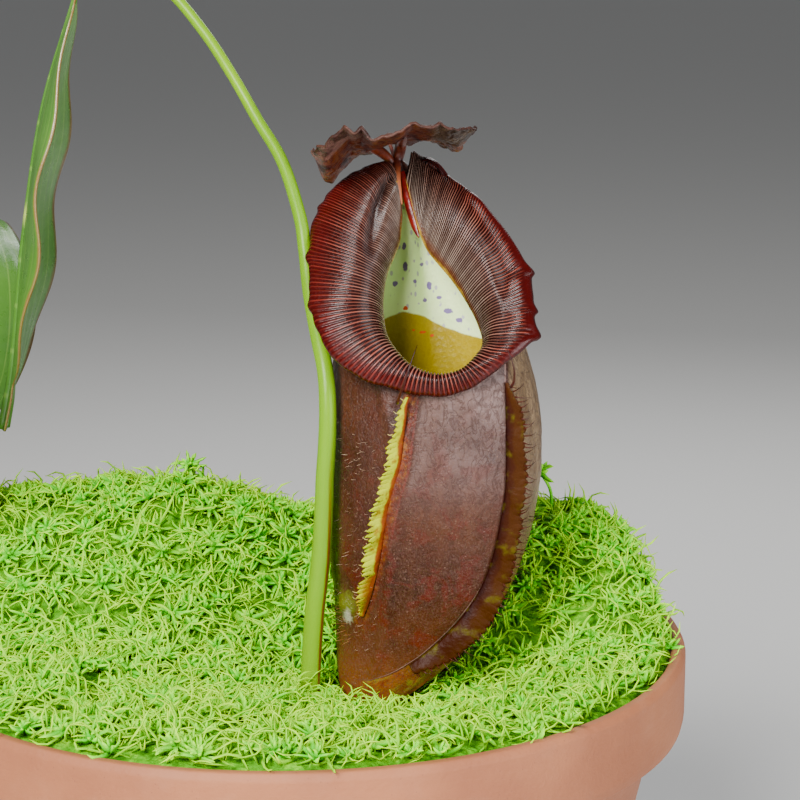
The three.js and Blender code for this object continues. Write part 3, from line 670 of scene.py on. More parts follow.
@lru_cache(None)
def cupTop(side):  # where a column ends under the collar, and the way it leans there
    limit = 1 - cup["neckSpread"] / 180
    if abs(side) <= limit:
        share = (side / limit + 1) / 2
        normal = collarNormal(share, cup["seat"])
        return collarPoint(share, cup["seat"]) - normal * (0.35 + sunkDepth(share, cup["seat"])), normal
    right, _ = cupTop(limit)
    left, _ = cupTop(-limit)
    s = ((side if side > 0 else side + 2) - limit) / (2 - 2 * limit)
    peak = Vector(cup["neckTop"])
    top = right * (1 - s) ** 2 + peak * 2 * s * (1 - s) + left * s ** 2
    return top, Vector((0, 0.1, 1)).normalized()


def cupPoint(side, v):
    angle = math.radians(cup["front"]) + side * math.pi
    below = cup["shoulderShare"]
    if v == 0:
        return angle, Vector((*cupSliceSizes(cup["bottom"])[:2], cup["bottom"]))
    if v <= below:
        z = lerp(cup["bottom"], cup["shoulder"], (v / below) ** 1.35)
        return angle, cupSlice(angle, max(z, cup["lowestRing"]))
    s = (v - below) / (1 - below)
    foot = cupSlice(angle, cup["shoulder"])
    top, lean = cupTop(side if side < 1 else -1.0)
    reach = (top - foot).length
    return angle, (
        foot * (2 * s ** 3 - 3 * s ** 2 + 1) + skyward * (s ** 3 - 2 * s ** 2 + s) * reach
        + top * (3 * s ** 2 - 2 * s ** 3) + lean * (s ** 3 - s ** 2) * reach * 0.7)


creaseLines = [(Line([(x, 0, z) for x, z in points]), depth) for points, depth in cup["creases"]]
creasePoints = [([line.at(k / 30) for k in range(31)], depth) for line, depth in creaseLines]


def creaseDepth(point):
    flat = Vector((point.x, 0, point.z))
    return sum(depth * bump(min((flat - p).length for p in points), 0, 0.9) for points, depth in creasePoints)


def cupDetail(angle, point, v):  # how far the skin stands off its plain shape
    degrees = (math.degrees(angle) + 180) % 360 - 180
    body = window(v, 0.04, 0.2, 0.86, 0.97)
    flat = window(degrees, -104, -88, -62, -46)
    lift = sum(0.9 * bump(degrees, wing, 5) for wing in cup["wingAngles"]) - 0.7 * flat
    lift += 0.35 * noise.noise(point * 0.055 + Vector((3, 0, 0))) + 0.14 * noise.noise(point * 0.4)
    wrinkle = waver(point.x * 0.16, point.y * 0.16, point.z * 0.05)
    lift += 0.28 * (abs(wrinkle) - 0.2) * (1 + 1.4 * flat * smoothStep(point.z, 185, 215))
    leather = 1 - 2 * abs(noise.noise(point * 0.62 + Vector((0, 0, 4))))  # a net of fine raised folds
    lift += 0.13 * leather * (0.35 + 0.65 * flat * smoothStep(point.z, 165, 205))
    if -100 < degrees < -45:
        lift -= creaseDepth(point)
    return lift * body + 2.1 * bump((point - Vector(cup["knob"])).length, 0, 3.4)


wings = {
    "wing_left": {
        "root": ((33.6, -53.6, 223.5), (32.3, -53.3, 213.8), (31, -52.8, 203.2), (28.4, -51.8, 193.9),
                 (26.4, -50.8, 184), (25.3, -49.6, 177), (23.3, -47.8, 168), (20, -45.3, 158.5)),
        "lean": (-0.8, -0.6),
        "width": ((0, 1), (0.12, 4.2), (0.5, 6.2), (0.8, 5), (1, 1.5)),
        "teeth": 44,
        "toothDepth": 0.48,
        "droop": 0.3,
        "dips": ((0.78, 0.014, 0.5), (0.9, 0.05, -0.4)),  # where the edge is cut in: place, width, share
        "hairs": 26,
        "hairLength": 1.9,
        "curl": 0.35,
        "filament": ((31.2, -55.5, 222.5), (32.2, -60, 226.5), (33.8, -63, 232), (36.6, -60, 239.5)),
    },
    "wing_right": {
        "root": ((61.6, -47.6, 226.5), (62.2, -47.5, 218.9), (62.6, -47.6, 209.2), (62.2, -47.5, 196.1),
                 (60.9, -47.4, 186.2), (59, -47, 176.2), (55.5, -46.6, 167.7), (50, -46.6, 159.3),
                 (42.8, -46.4, 151.3), (34.5, -46, 144.6)),
        "lean": (0.85, -0.53),
        "width": ((0, 1), (0.1, 4.4), (0.5, 6), (0.8, 7), (1, 3)),
        "runOut": ((137, 8), (140, 25)),  # its ridge goes on below it, as (z, x) points
        "teeth": 44,
        "toothDepth": 0.16,
        "droop": 0,
        "dips": ((0.4, 0.02, 0.15), (0.62, 0.02, 0.15)),
        "hairs": 58,
        "hairLength": 4.4,
        "curl": -0.8,
        "filament": ((62.4, -50.6, 226), (63, -55.5, 229), (62.5, -58.5, 233.8), (60.2, -57.5, 239.8)),
    },
}
wingThickness = 0.45
wingLines = {name: Line(wing["root"]) for name, wing in wings.items()}


def rootAcross(name, z):  # how far right a wing's root lies at a height
    points = [*wings[name].get("runOut", ()), *((p[2], p[0]) for p in reversed(wings[name]["root"]))]
    return valueAt(points, z)


def makeCup():
    def place(u, v):
        angle, point = cupPoint(2 * u - 1, v)
        x, y, _, _ = cupSliceSizes(point.z)
        out = Vector((point.x - x, point.y - y, 0))
        if out.length > 1e-6:
            point = point + out.normalized() * cupDetail(angle, point, v)
        return point
    bm = sheet(cup["columns"], cup["rows"], place, wrap=True)
    above, behind, rounds = cup["evened"]
    neck = [vert for vert in bm.verts
            if vert.co.z > above * mm and vert.co.y > behind * mm and not vert.is_boundary]
    for _ in range(rounds):
        bmesh.ops.smooth_vert(bm, verts=neck, factor=0.5, use_axis_x=True, use_axis_y=True, use_axis_z=True)
    bmesh.ops.recalc_face_normals(bm, faces=bm.faces)
    faceOut(bm, lambda face: face.calc_center_median() / mm - Vector(cup["inside"]))
    masks = ("waxyZone", "leftRoot", "rightRoot", "flank")
    layers = {name: bm.verts.layers.float.new(name) for name in masks}
    for vert in bm.verts:
        p = vert.co / mm
        x, y, a, b = cupSliceSizes(p.z)
        degrees = math.degrees(math.atan2((p.y - y) / b, (p.x - x) / a))
        inFront = p.y < y
        # distances are kept as 0.5 and 0.05 for each millimetre
        vert[layers["waxyZone"]] = 0.5 + 0.05 * (p.z - valueAt(cup["waxyFrom"], p.x))
        vert[layers["leftRoot"]] = 0.5 + 0.05 * (p.x - rootAcross("wing_left", p.z)) if inFront else 0
        vert[layers["rightRoot"]] = 0.5 + 0.05 * (p.x - rootAcross("wing_right", p.z)) if inFront else 1
        turned = smoothStep(degrees, 20, 75) if degrees > -60 else smoothStep(-degrees, 100, 140)
        vert[layers["flank"]] = 1 - turned
    return bm


def cupOutsideFinish():
    paint = Finish("cup outside mottled maroon", 0.45)
    cloud = paint.noise(45, 5, roughness=0.6)
    streaks = paint.noise(160, 4, stretch=(1, 1, 0.22))
    height = paint.height()
    flank = paint.mask("flank")
    base = paint.ramp(cloud, (0.3, (0.018, 0.0036, 0.0012)), (0.5, (0.037, 0.0078, 0.0024)),
                      (0.72, (0.063, 0.017, 0.0056)))
    base = paint.mix(paint.rise(streaks, 0.45, 0.7, 0.5), base, (0.07, 0.021, 0.009))
    panel = paint.both(paint.rise(paint.mask("leftRoot"), 0.68, 0.76),
                       paint.fall(paint.mask("rightRoot"), 0.46, 0.5))
    # painted sheen: the upper front panel is washed pale grey where light glances off it
    paleWash = paint.both(panel, paint.rise(height, 0.185, 0.218), paint.ramp(cloud, (0.3, 0.3), (0.6, 0.75)))
    base = paint.mix(paleWash, base, (0.175, 0.118, 0.11))
    blotch = paint.both(paint.rise(paint.noise(130, 4, distortion=0.6), 0.5, 0.62),
                        paint.ramp(height, (0.148, 0.9), (0.2, 0.3), (0.235, 0.0)))
    base = paint.mix(blotch, base, (0.072, 0.0042, 0.0014))
    foot = paint.both(paint.ramp(height, (0.127, 1.0), (0.152, 0.2), (0.17, 0.0)),
                      paint.ramp(cloud, (0.3, 0.35), (0.6, 1.0)))
    base = paint.mix(foot, base, (0.15, 0.043, 0.005))
    # beside the left wing: mottled orange from its root, then a pink line where the panel starts
    leftRoot = paint.wander(paint.mask("leftRoot"), 140, 0.14)
    band = paint.both(paint.ramp(leftRoot, (0.44, 0.0), (0.5, 0.85), (0.6, 0.55), (0.68, 0.0)),
                      paint.ramp(height, (0.148, 0.0), (0.165, 0.8), (0.222, 1.0), (0.232, 0.0)))
    orange = paint.ramp(paint.noise(520, 4), (0.4, (0.11, 0.008, 0.002)), (0.52, (0.17, 0.03, 0.002)),
                        (0.66, (0.27, 0.09, 0.003)))
    base = paint.mix(band, base, orange)
    pink = paint.both(paint.ramp(paint.mask("leftRoot"), (0.64, 0.0), (0.67, 0.4), (0.7, 0.0)),
                      paint.rise(height, 0.175, 0.19))
    base = paint.mix(pink, base, (0.16, 0.025, 0.02))
    # beside the right wing: a pale painted highlight along the ridge at its root, on a dark band, then taupe
    # skin above and mottled orange below
    rightRoot = paint.mask("rightRoot")
    beside = paint.ramp(rightRoot, (0.42, 0.0), (0.5, 0.8), (0.6, 0.0))
    base = paint.mix(paint.both(beside, flank), base, (0.035, 0.006, 0.002))
    ridge = paint.ramp(paint.wander(rightRoot, 90, 0.02), (0.455, 0.0), (0.47, 0.75), (0.485, 0.0))
    base = paint.mix(paint.both(ridge, flank), base, (0.3, 0.17, 0.14))
    outside = paint.both(paint.rise(rightRoot, 0.5, 0.54), flank)
    taupe = paint.mix(paint.rise(streaks, 0.35, 0.7), (0.12, 0.07, 0.03), (0.25, 0.17, 0.09))
    fade = paint.wander(height, 70, 0.03)
    base = paint.mix(paint.both(outside, paint.rise(fade, 0.155, 0.2, 0.9)), base, taupe)
    rust = paint.ramp(paint.noise(230, 4, distortion=0.7), (0.36, (0.12, 0.016, 0.004)),
                      (0.5, (0.18, 0.05, 0.005)), (0.68, (0.18, 0.14, 0.006)))
    base = paint.mix(paint.both(outside, paint.fall(fade, 0.15, 0.19, 0.85)), base, rust)
    flecks = paint.both(paint.fall(paint.spots(900), 0.12, 0.26),
                        paint.rise(paint.noise(220, 3), 0.4, 0.62, 0.45))
    base = paint.mix(flecks, base, (0.18, 0.105, 0.073))
    # a fine pale grain all over, and thin creases painted dark as painted shade in them, growing stronger
    # towards the mouth
    grain = paint.rise(paint.noise(2400, 2, stretch=(1, 1, 0.5)), 0.46, 0.66, 0.38)
    base = paint.mix(grain, base, (0.088, 0.045, 0.03))
    folds = paint.away(paint.noise(430, 5, stretch=(1, 1, 0.6), distortion=0.7), 0.5)
    creases = paint.both(paint.fall(folds, 0.0, 0.06, 0.55), paint.ramp(height, (0.15, 0.2), (0.22, 1.0)))
    base = paint.mix(creases, base, (0.028, 0.007, 0.004))
    # the knob's green tint, then a pale painted highlight below it
    for x, z, width, tall, tone in cup["knobTintAndHighlight"]:
        base = paint.mix(paint.mark(x, z, width, tall, core=0.15), base, tone)
    paint.rough(paint.ramp(paint.noise(500, 4), (0.3, 0.3), (0.7, 0.5)))
    return paint.finished(base, 0.27, (paint.noise(220, 4, stretch=(1, 1, 0.4)), 0.4),
                          (paint.rest(creases), 0.12), (paint.noise(1500, 4), 0.22))


def cupInsideFinish():
    paint = Finish("cup inside mint and olive", 0.4)
    waxy = paint.rise(paint.wander(paint.mask("waxyZone"), 160, 0.06), 0.485, 0.515)
    mint = paint.mix(paint.noise(70, 3), (0.6, 0.86, 0.32), (0.8, 0.96, 0.5))
    small = paint.both(paint.fall(paint.spots(520, stretch=(1, 1, 0.6)), 0.2, 0.3),
                       paint.rise(paint.noise(240, 2), 0.44, 0.52, 0.8))
    mint = paint.mix(small, mint, (0.36, 0.32, 0.46))
    for x, z, width, height in cup["purpleMarks"]:
        mint = paint.mix(paint.mark(x, z, 1.25 * width, 1.2 * height), mint, (0.17, 0.12, 0.3))
    olive = paint.mix(paint.noise(120, 4), (0.25, 0.17, 0.0004), (0.38, 0.28, 0.001))
    net = paint.fall(paint.spots(620, stretch=(1, 1, 0.7), feature="DISTANCE_TO_EDGE"), 0.0, 0.1, 0.25)
    olive = paint.mix(net, olive, (0.42, 0.32, 0.008))
    zone = paint.mix(waxy, olive, mint)
    for x, z, width, height in cup["redMarks"]:
        zone = paint.mix(paint.mark(x, z, width, height), zone, (0.62, 0.07, 0.004))
    neck = paint.rise(paint.height(), 0.2685, 0.273)
    paint.rough(paint.ramp(waxy, (0.0, 0.3), (1.0, 0.6)))
    paint.soft(0.2, (0.004, 0.004, 0.002))
    return paint.finished(paint.mix(neck, zone, (0.03, 0.007, 0.004)), 0.35, (paint.spots(700), 0.1))


cupPiece = finishPiece("cup", makeCup(), [cupOutsideFinish(), cupInsideFinish()], "cup", "pitcher_cup")
thicken(cupPiece, cup["wall"], backMaterial=1)


def onCup(point, clearance):  # the nearest point of the cup's skin at that height, or off it
    x, y, a, b = cupSliceSizes(point.z)
    angle = math.atan2((point.y - y) / b, (point.x - x) / a)
    return Vector((x + (a + clearance) * math.cos(angle), y + (b + clearance) * math.sin(angle), point.z))


def wingFrame(name, s):
    line = wingLines[name]
    foot = onCup(line.atLength(s), 0.3)
    ahead = line.heading(s)
    out = Vector((*wings[name]["lean"], 0)).normalized()
    out = (out - ahead * out.dot(ahead)).normalized()
    return foot, ahead, out, ahead.cross(out)


def hair(target, points, thick, steps=4):  # a fine closed hair that thins to its tip
    addTo(target, tube(Line(points), lambda s, turn: thick * (1 - 0.85 * s), sides=4, steps=steps))


@lru_cache(None)
def toothSizes(name):
    rng = random.Random(name)
    return [rng.uniform(0.45, 1) for _ in range(wings[name]["teeth"] + 1)]


def plainReach(name, u):  # how far out a wing stands before its teeth
    wing = wings[name]
    dip = sum(deep * bump(u, middle, width) for middle, width, deep in wing["dips"])
    return valueAt(wing["width"], u) * (1 - dip)


def edgeReach(name, u, toothed=1):  # how far out its edge runs, in rounded teeth like fingers
    wing = wings[name]
    spot = min(u * wing["teeth"], wing["teeth"] - 1e-6)
    tooth = toothSizes(name)[int(spot)] * (1 - abs(2 * (spot % 1) - 1)) ** 0.55
    return plainReach(name, u) * (1.08 + wing["toothDepth"] * (tooth * toothed - 1))


def makeWing(name):
    wing = wings[name]

    def place(u, v):
        foot, _, out, face = wingFrame(name, u)
        reach = edgeReach(name, u, smoothStep(v, 0.4, 1))
        ripple = 0.5 * math.sin(u * 40) + 0.4 * waver(u * 30, v * 2, 1)
        point = foot + out * reach * v + face * (wing["curl"] * reach * v * 0.5 + ripple) * v
        return point - skyward * (wing["droop"] * reach * v * v)
    return sheet(wing["teeth"] * 10, 10, place)


def makeFringe(name):  # the hairs along the edge of a wing, and the long one at its top
    wing = wings[name]
    bm = bmesh.new()
    rng = random.Random(name + " fringe")
    for k in range(wing["hairs"]):
        s = (k + rng.uniform(0.2, 0.8)) / wing["hairs"]
        foot, ahead, out, face = wingFrame(name, s)
        reach = edgeReach(name, s) * 0.95
        sag = skyward * (wing["droop"] * reach * 0.9)
        root = foot + out * reach + face * wing["curl"] * reach * 0.45 - sag
        way = (out + face * rng.uniform(-0.5, 0.3) - ahead * rng.uniform(-0.5, 0.5)).normalized()
        length = wing["hairLength"] * rng.uniform(0.6, 1.2)
        rise = skyward * rng.uniform(0.2, 1) * length
        bend = root + way * length * 0.5 + rise * 0.12
        hair(bm, [root, bend, root + way * length * 0.85 + rise * 0.5], 0.22)
    edgeHairs = len(bm.faces)
    hair(bm, wing["filament"], 0.5, steps=10)
    bm.faces.ensure_lookup_table()
    for face in bm.faces[edgeHairs:]:
        face.material_index = 1
    return bm


def wingFinish(name, root, middle, edge, patch, patchScale):
    paint = Finish(name, 0.45)
    across = paint.wander(paint.v, 250, 0.5)
    tone = paint.ramp(across, (0.02, root), (0.36, middle), (0.58, edge))
    lower = paint.ramp(paint.u, (0.76, 0.0), (0.79, 0.85), (0.95, 0.8), (1.0, 0.4))
    tone = paint.mix(paint.both(lower, paint.ramp(across, (0.6, 1.0), (0.95, 0.3))), tone, middle)
    tone = paint.mix(paint.rise(paint.noise(patchScale, 4), 0.5, 0.7, 0.75), tone, patch)
    return paint.finished(tone, 0.08, (paint.noise(700, 4), 0.25))


def hairFinish(name, root, tip):
    paint = Finish(name, 0.4)
    return paint.finished(paint.ramp(paint.v, (0.1, root), (0.8, tip)), 0.3)


wingLooks = {
    "wing_left": wingFinish("left wing yellow green", (0.1, 0.01, 0.0012), (0.17, 0.036, 0.0012),
                            (0.33, 0.37, 0.001), (0.18, 0.05, 0.001), 330),
    "wing_right": wingFinish("right wing orange brown", (0.012, 0.0009, 0.0003), (0.026, 0.0044, 0.0002),
                             (0.036, 0.0095, 0.0002), (0.07, 0.058, 0.0004), 210),
}
darkHairs = hairFinish("dark hairs", (0.06, 0.006, 0.003), (0.02, 0.003, 0.002))
fringeLooks = {
    "wing_left": hairFinish("left fringe pale hairs", (0.34, 0.26, 0.015), (0.5, 0.4, 0.16)),
    "wing_right": darkHairs,
}
for wingName in wings:
    wing = finishPiece(wingName + "_blade", makeWing(wingName), [wingLooks[wingName]], "wing", wingName)
    thicken(wing, wingThickness)
    finishPiece(wingName + "_fringe", makeFringe(wingName), [fringeLooks[wingName], darkHairs], "wing")


bristles = {
    "dark": {"count": 110, "from": -40, "to": 8, "low": 134, "high": 186, "length": 3.4, "thick": 0.13},
    "pale": {"count": 150, "from": -172, "to": -118, "low": 146, "high": 214, "length": 1.9, "thick": 0.07},
    "tuft": {"count": 70, "from": -180, "to": -142, "low": 149, "high": 163, "length": 2.7, "thick": 0.1},
}


def makeBristles(kind):  # single hairs that stand off the cup's skin
    bm = bmesh.new()
    rng = random.Random(kind)
    values = bristles[kind]
    for _ in range(values["count"]):
        z = rng.uniform(values["low"], values["high"])
        angle = math.radians(rng.uniform(values["from"], values["to"]))
        foot = cupSlice(angle, z)
        x, y, _, _ = cupSliceSizes(z)
        out = Vector((foot.x - x, foot.y - y, 0)).normalized()
        length = values["length"] * rng.uniform(0.5, 1.2)
        side = Vector((rng.uniform(-0.4, 0.4), rng.uniform(-0.4, 0.4), rng.uniform(-0.5, 0.9)))
        tip = foot + (out + side).normalized() * length
        hair(bm, [foot - out * 0.3, (foot + tip) / 2 + out * length * 0.12, tip], values["thick"], steps=3)
    return bm


bristleLooks = {
    "dark": darkHairs,
    "pale": hairFinish("pale hairs", (0.14, 0.07, 0.035), (0.55, 0.42, 0.3)),
    "tuft": hairFinish("red brown hairs", (0.14, 0.04, 0.01), (0.3, 0.14, 0.05)),
}
for kind, look in bristleLooks.items():
    finishPiece("bristles_" + kind, makeBristles(kind), [look], "cup")


lid = {
    "middle": (30.4, -16),
    "halfWidth": 23,
    "halfLength": 24,
    "thickness": 0.7,
    "frontHeight": ((-1, 287.7), (-0.85, 290.5), (-0.7, 294), (-0.55, 295.5), (-0.4, 295), (-0.25, 293.4),
                    (-0.1, 294), (0.05, 295), (0.2, 297.2), (0.35, 296), (0.5, 295.8), (0.65, 295.2),
                    (0.8, 295.5), (1, 294)),
    "backHeight": ((-1, 287.7), (-0.85, 277.5), (-0.7, 279.3), (-0.55, 283.2), (-0.4, 284.7), (-0.25, 285.8),
                   (-0.1, 286.8), (0.05, 287), (0.2, 287.6), (0.35, 288.8), (0.5, 288.4), (0.65, 286.8),
                   (0.8, 286.2), (1, 294)),
    # small lobes along the front edge, as (x, width, height)
    "frontLobes": ((11, 0.8, -0.4), (16.7, 1.5, 0.8), (19.4, 1, -1.2), (21.8, 1.1, 1.2), (24.6, 0.8, -0.6),
                   (43, 1.1, 1.3)),
    # the stalk rises out of the neck and forks; the midrib runs on from its right arm
    "stalk": ((32.5, -3.6, 270.5), (31.9, -1.8, 274.2), (31.2, 0.3, 277.6), (30.9, 3.4, 280.2),
              (31.3, 5.4, 282.6), (32, 5, 285.4), (32.4, 2.6, 288.2), (32.8, -4, 290), (33.4, -12, 291.2)),
    "stalkRadius": ((0, 0.3), (0.16, 0.8), (0.28, 1.25), (0.42, 1.6), (0.55, 1.7), (0.7, 1.7), (1, 0.4)),
    "arm": ((30.8, 3.6, 279.8), (29.6, 4.6, 281.8), (27.4, 3.6, 284.2), (24, 0, 286.6), (20, -6, 288)),
    "armRadius": ((0, 0.9), (0.3, 1.5), (0.6, 1.5), (1, 0.3)),
    "spur": ((31, 7.6, 278.5), (30.6, 12, 281.5), (29.6, 15.5, 284.5), (28, 18.5, 288.2)),
}


def makeLid():
    def place(u, v):
        across = math.sin(math.pi * (u - 0.5))
        deep = max(math.sqrt(max(1 - across * across, 0)), 0.04)
        along = 2 * v - 1
        turn = math.atan2(along * deep, across)
        edge = min(abs(along) ** 3 + abs(across) ** 6, 1)
        notch = 0.05 * waver(turn * 3.2, 4) + 0.03 * waver(turn * 9, 9)
        x = lid["middle"][0] + lid["halfWidth"] * across * (1 + notch * edge)
        y = lid["middle"][1] + lid["halfLength"] * deep * along * (1 + notch * edge)
        z = lerp(valueAt(lid["frontHeight"], across), valueAt(lid["backHeight"], across), v)
        z += 0.7 * math.sin(9 * across + 2.2 * along) * (1 - 0.5 * along * along) * deep
        z += 1.1 * waver(x * 0.22, y * 0.22, 2) * (0.4 + 0.6 * edge)
        lobes = sum(height * bump(x, middle, width) for middle, width, height in lid["frontLobes"])
        z += lobes * (1 - v) ** 2
        return Vector((x, y, z + 0.5 * waver(x * 0.75, y * 0.75, 8)))
    bm = sheet(150, 90, place)
    faceOut(bm, lambda face: skyward)
    return bm


def makeLidStalk():
    bm = tube(Line(lid["stalk"]), lambda s, turn: valueAt(lid["stalkRadius"], s), 14, 60)
    addTo(bm, tube(Line(lid["arm"]), lambda s, turn: valueAt(lid["armRadius"], s), 12, 32))
    return bm


def makeSpur():
    spur = Line(lid["spur"])
    bm = tube(spur, lambda s, turn: 0.9 - 0.45 * s, 8, 14)
    rng = random.Random(5)
    for _ in range(26):  # short white hairs
        root = spur.atLength(rng.uniform(0.1, 1))
        way = Vector((rng.uniform(-1, 1), rng.uniform(-0.4, 1), rng.uniform(0, 1))).normalized()
        hair(bm, [root, root + way, root + way * 1.7 + Vector((0, 0, 0.3))], 0.07, steps=3)
    return bm


def lidTopFinish():
    paint = Finish("lid top pinkish grey", 0.55)
    tone = paint.ramp(paint.noise(140, 5), (0.35, (0.017, 0.004, 0.0025)), (0.6, (0.055, 0.02, 0.013)))
    tone = paint.mix(paint.fall(paint.spots(900), 0.1, 0.3, 0.5), tone, (0.12, 0.062, 0.05))
    return paint.finished(tone, 0.25, (paint.noise(500, 4), 0.4))


def lidUnderFinish():
    paint = Finish("lid underside orange brown", 0.5)
    across = paint.wander(paint.u, 150, 0.08)
    along = paint.wander(paint.v, 150, 0.25)
    # the mottling is drawn out from front to back, as the lid is seen nearly edge on
    mottle = paint.noise(260, 5, stretch=(1, 0.25, 1), distortion=0.8)
    tone = paint.ramp(mottle, (0.34, (0.013, 0.0011, 0.0006)), (0.45, (0.05, 0.0045, 0.0008)),
                      (0.56, (0.085, 0.016, 0.0008)), (0.7, (0.15, 0.046, 0.0008)))
    pinkGrey = paint.ramp(mottle, (0.36, (0.028, 0.007, 0.005)), (0.6, (0.12, 0.052, 0.042)))
    front = paint.both(paint.fall(across, 0.4, 0.44), paint.fall(along, 0.24, 0.4))
    pink = paint.maths("MAXIMUM", front, paint.fall(across, 0.14, 0.22, 0.9))
    tone = paint.mix(pink, tone, pinkGrey)
    greyBrown = paint.ramp(mottle, (0.36, (0.014, 0.007, 0.003)), (0.6, (0.05, 0.032, 0.018)))
    grey = paint.both(paint.rise(across, 0.62, 0.68, 0.9), paint.ramp(along, (0.62, 1.0), (0.85, 0.1)))
    return paint.finished(paint.mix(grey, tone, greyBrown), 0.3, (paint.noise(420, 5), 0.6))


def stalkFinish():  # salmon in front, low in the neck, and dark above
    paint = Finish("lid stalk red brown", 0.4)
    low = paint.fall(paint.wander(paint.height(), 300, 0.003), 0.2775, 0.281)
    dark = paint.ramp(paint.noise(260, 4), (0.35, (0.035, 0.004, 0.002)), (0.6, (0.13, 0.02, 0.006)))
    return paint.finished(paint.mix(low, dark, (0.36, 0.1, 0.035)), 0.3, (paint.noise(600, 4), 0.2))


def mottledFinish(name, scale, depth, dark, middle, light):
    paint = Finish(name, 0.4)
    tone = paint.ramp(paint.noise(scale, 5, distortion=0.8), (0.32, dark), (0.48, middle), (0.66, light))
    return paint.finished(tone, plainGloss, (paint.noise(scale * 2.2, 5), depth))


stalkRed = stalkFinish()
lidBlade = finishPiece("lid_blade", makeLid(), [lidTopFinish(), lidUnderFinish()], "lid", "lid")
thicken(lidBlade, lid["thickness"], backMaterial=1)
finishPiece("lid_stalk", makeLidStalk(), [stalkRed], "lid")
spurBrown = mottledFinish("spur dark brown", 260, 0.2,
                          (0.02, 0.003, 0.002), (0.045, 0.008, 0.004), (0.08, 0.02, 0.01))
finishPiece("lid_spur", makeSpur(), [spurBrown], "lid", "spur")


stem = {
    "foot": (-98, 18, 122),
    "top": (-95, 17, 214),
    "radius": 4.6,
    "scars": 9,
}


def makeStem():
    def radiusAt(s, turn):
        ring = abs(math.sin(s * stem["scars"] * math.pi)) ** 6
        rough = 0.12 * waver(math.cos(turn) * 2, math.sin(turn) * 2, s * 30)
        return stem["radius"] * (1 - 0.2 * smoothStep(s, 0.88, 1)) * (0.97 + 0.07 * ring) + rough
    foot, top = Vector(stem["foot"]), Vector(stem["top"])
    return tube(Line([foot, (foot + top) / 2, top]), radiusAt, 28, 90)


leaves = {
    "leaf_back": {"way": 104, "height": 186, "half": 23, "waves": 3.5,
                  "rib": ((0, 0), (22, 26), (58, 55), (98, 66), (128, 52))},
    "leaf_front": {"way": 248, "height": 192, "half": 22, "waves": 3,
                   "rib": ((0, 0), (20, 28), (52, 60), (92, 74), (124, 62))},
    "leaf_side": {"way": 178, "height": 197, "half": 23, "waves": 4,
                  "rib": ((0, 0), (18, 30), (48, 66), (86, 84), (120, 78))},
}
leafCurl = ((-4, 2.2), (8, -7), (15, -21), (13, -36), (6, -44), (1, -38))  # each leaf's own short tendril
pitcherLeaf = {
    "rib": ((-89.8, 17.8, 199), (-85.4, 18, 222), (-81, 18, 258), (-74, 16, 296), (-63, 12, 329)),
    "half": 20,
    "waves": 3,
    "fold": 0.3,
}
youngLeaf = {
    "rib": ((-95, 17, 214.8), (-96, 16, 236), (-98.5, 14, 262), (-104, 11, 291)),
    "half": 5.5,
}
blade = {"along": 70, "across": 24, "thickness": 0.7, "veins": 5}


def bladeHalfWidth(s, half):
    petiole = 3.4 * (1 - smoothStep(s, 0.06, 0.2))
    share = clamped((s - 0.1) / 0.9) ** 0.85
    return max(petiole, half * max(math.sin(math.pi * share), 0) ** 0.75, 1.2)


def makeBlade(line, side, half, waves, fold=0.22):
    def place(u, v):
        ahead = line.heading(u)
        wide = (side - ahead * side.dot(ahead)).normalized()
        up = wide.cross(ahead).normalized()
        reach = bladeHalfWidth(u, half)
        w = 2 * v - 1
        full = min(1, reach / half)
        wave = 1.8 * w * w * math.sin(fullTurn * waves * u + 1.2 * smoothStep(w, -0.1, 0.1)) * full
        vein = 0.22 * math.cos(fullTurn * blade["veins"] * abs(w)) * full
        lift = fold * reach * abs(w) ** 1.5 + wave + vein - 0.5 * bump(w * reach, 0, 0.9)
        return line.atLength(u) + wide * w * reach + up * lift
    bm = sheet(blade["along"], blade["across"], place)
    faceOut(bm, lambda face: skyward)
    bmesh.ops.solidify(bm, geom=bm.faces[:], thickness=blade["thickness"] * mm)
    bmesh.ops.recalc_face_normals(bm, faces=bm.faces)
    addTo(bm, tube(line, lambda s, turn: 1.5 - 0.9 * s, 10, 40))  # the midrib
    return bm


def makeLeaf(leaf):
    out = around(math.radians(leaf["way"]))
    foot, top = Vector(stem["foot"]), Vector(stem["top"])
    base = foot.lerp(top, (leaf["height"] - foot.z) / (top.z - foot.z))
    start = stem["radius"] * 1.05 + 0.7

    def at(run, rise):
        point = base + out * (start + run)
        point.z = leaf["height"] + rise
        return point
    ribs = [at(-1.4, -0.8)] + [at(*point) for point in leaf["rib"][1:]]  # its foot just enters the stem
    bm = makeBlade(Line(ribs), Vector((-out.y, out.x, 0)), leaf["half"], leaf["waves"])
    tip = leaf["rib"][-1]
    curl = Line([at(tip[0] + x, tip[1] + z) for x, z in leafCurl])
    addTo(bm, tube(curl, lambda s, turn: 1.25 - 0.5 * s, 10, 46))
    return bm


def makeYoungLeaf():  # still rolled into a spear, with a seam winding up it
    def radiusAt(s, turn):
        swell = max(math.sin(math.pi * min(1, s * 1.02 + 0.08)), 0) ** 0.8
        seam = bump(math.sin((turn - 3 * s) / 2), 0, 0.12)
        return max(0.7, 1.2 + (youngLeaf["half"] - 1.2) * swell) * (1 - 0.14 * seam)
    return tube(Line(youngLeaf["rib"]), radiusAt, 32, 60)


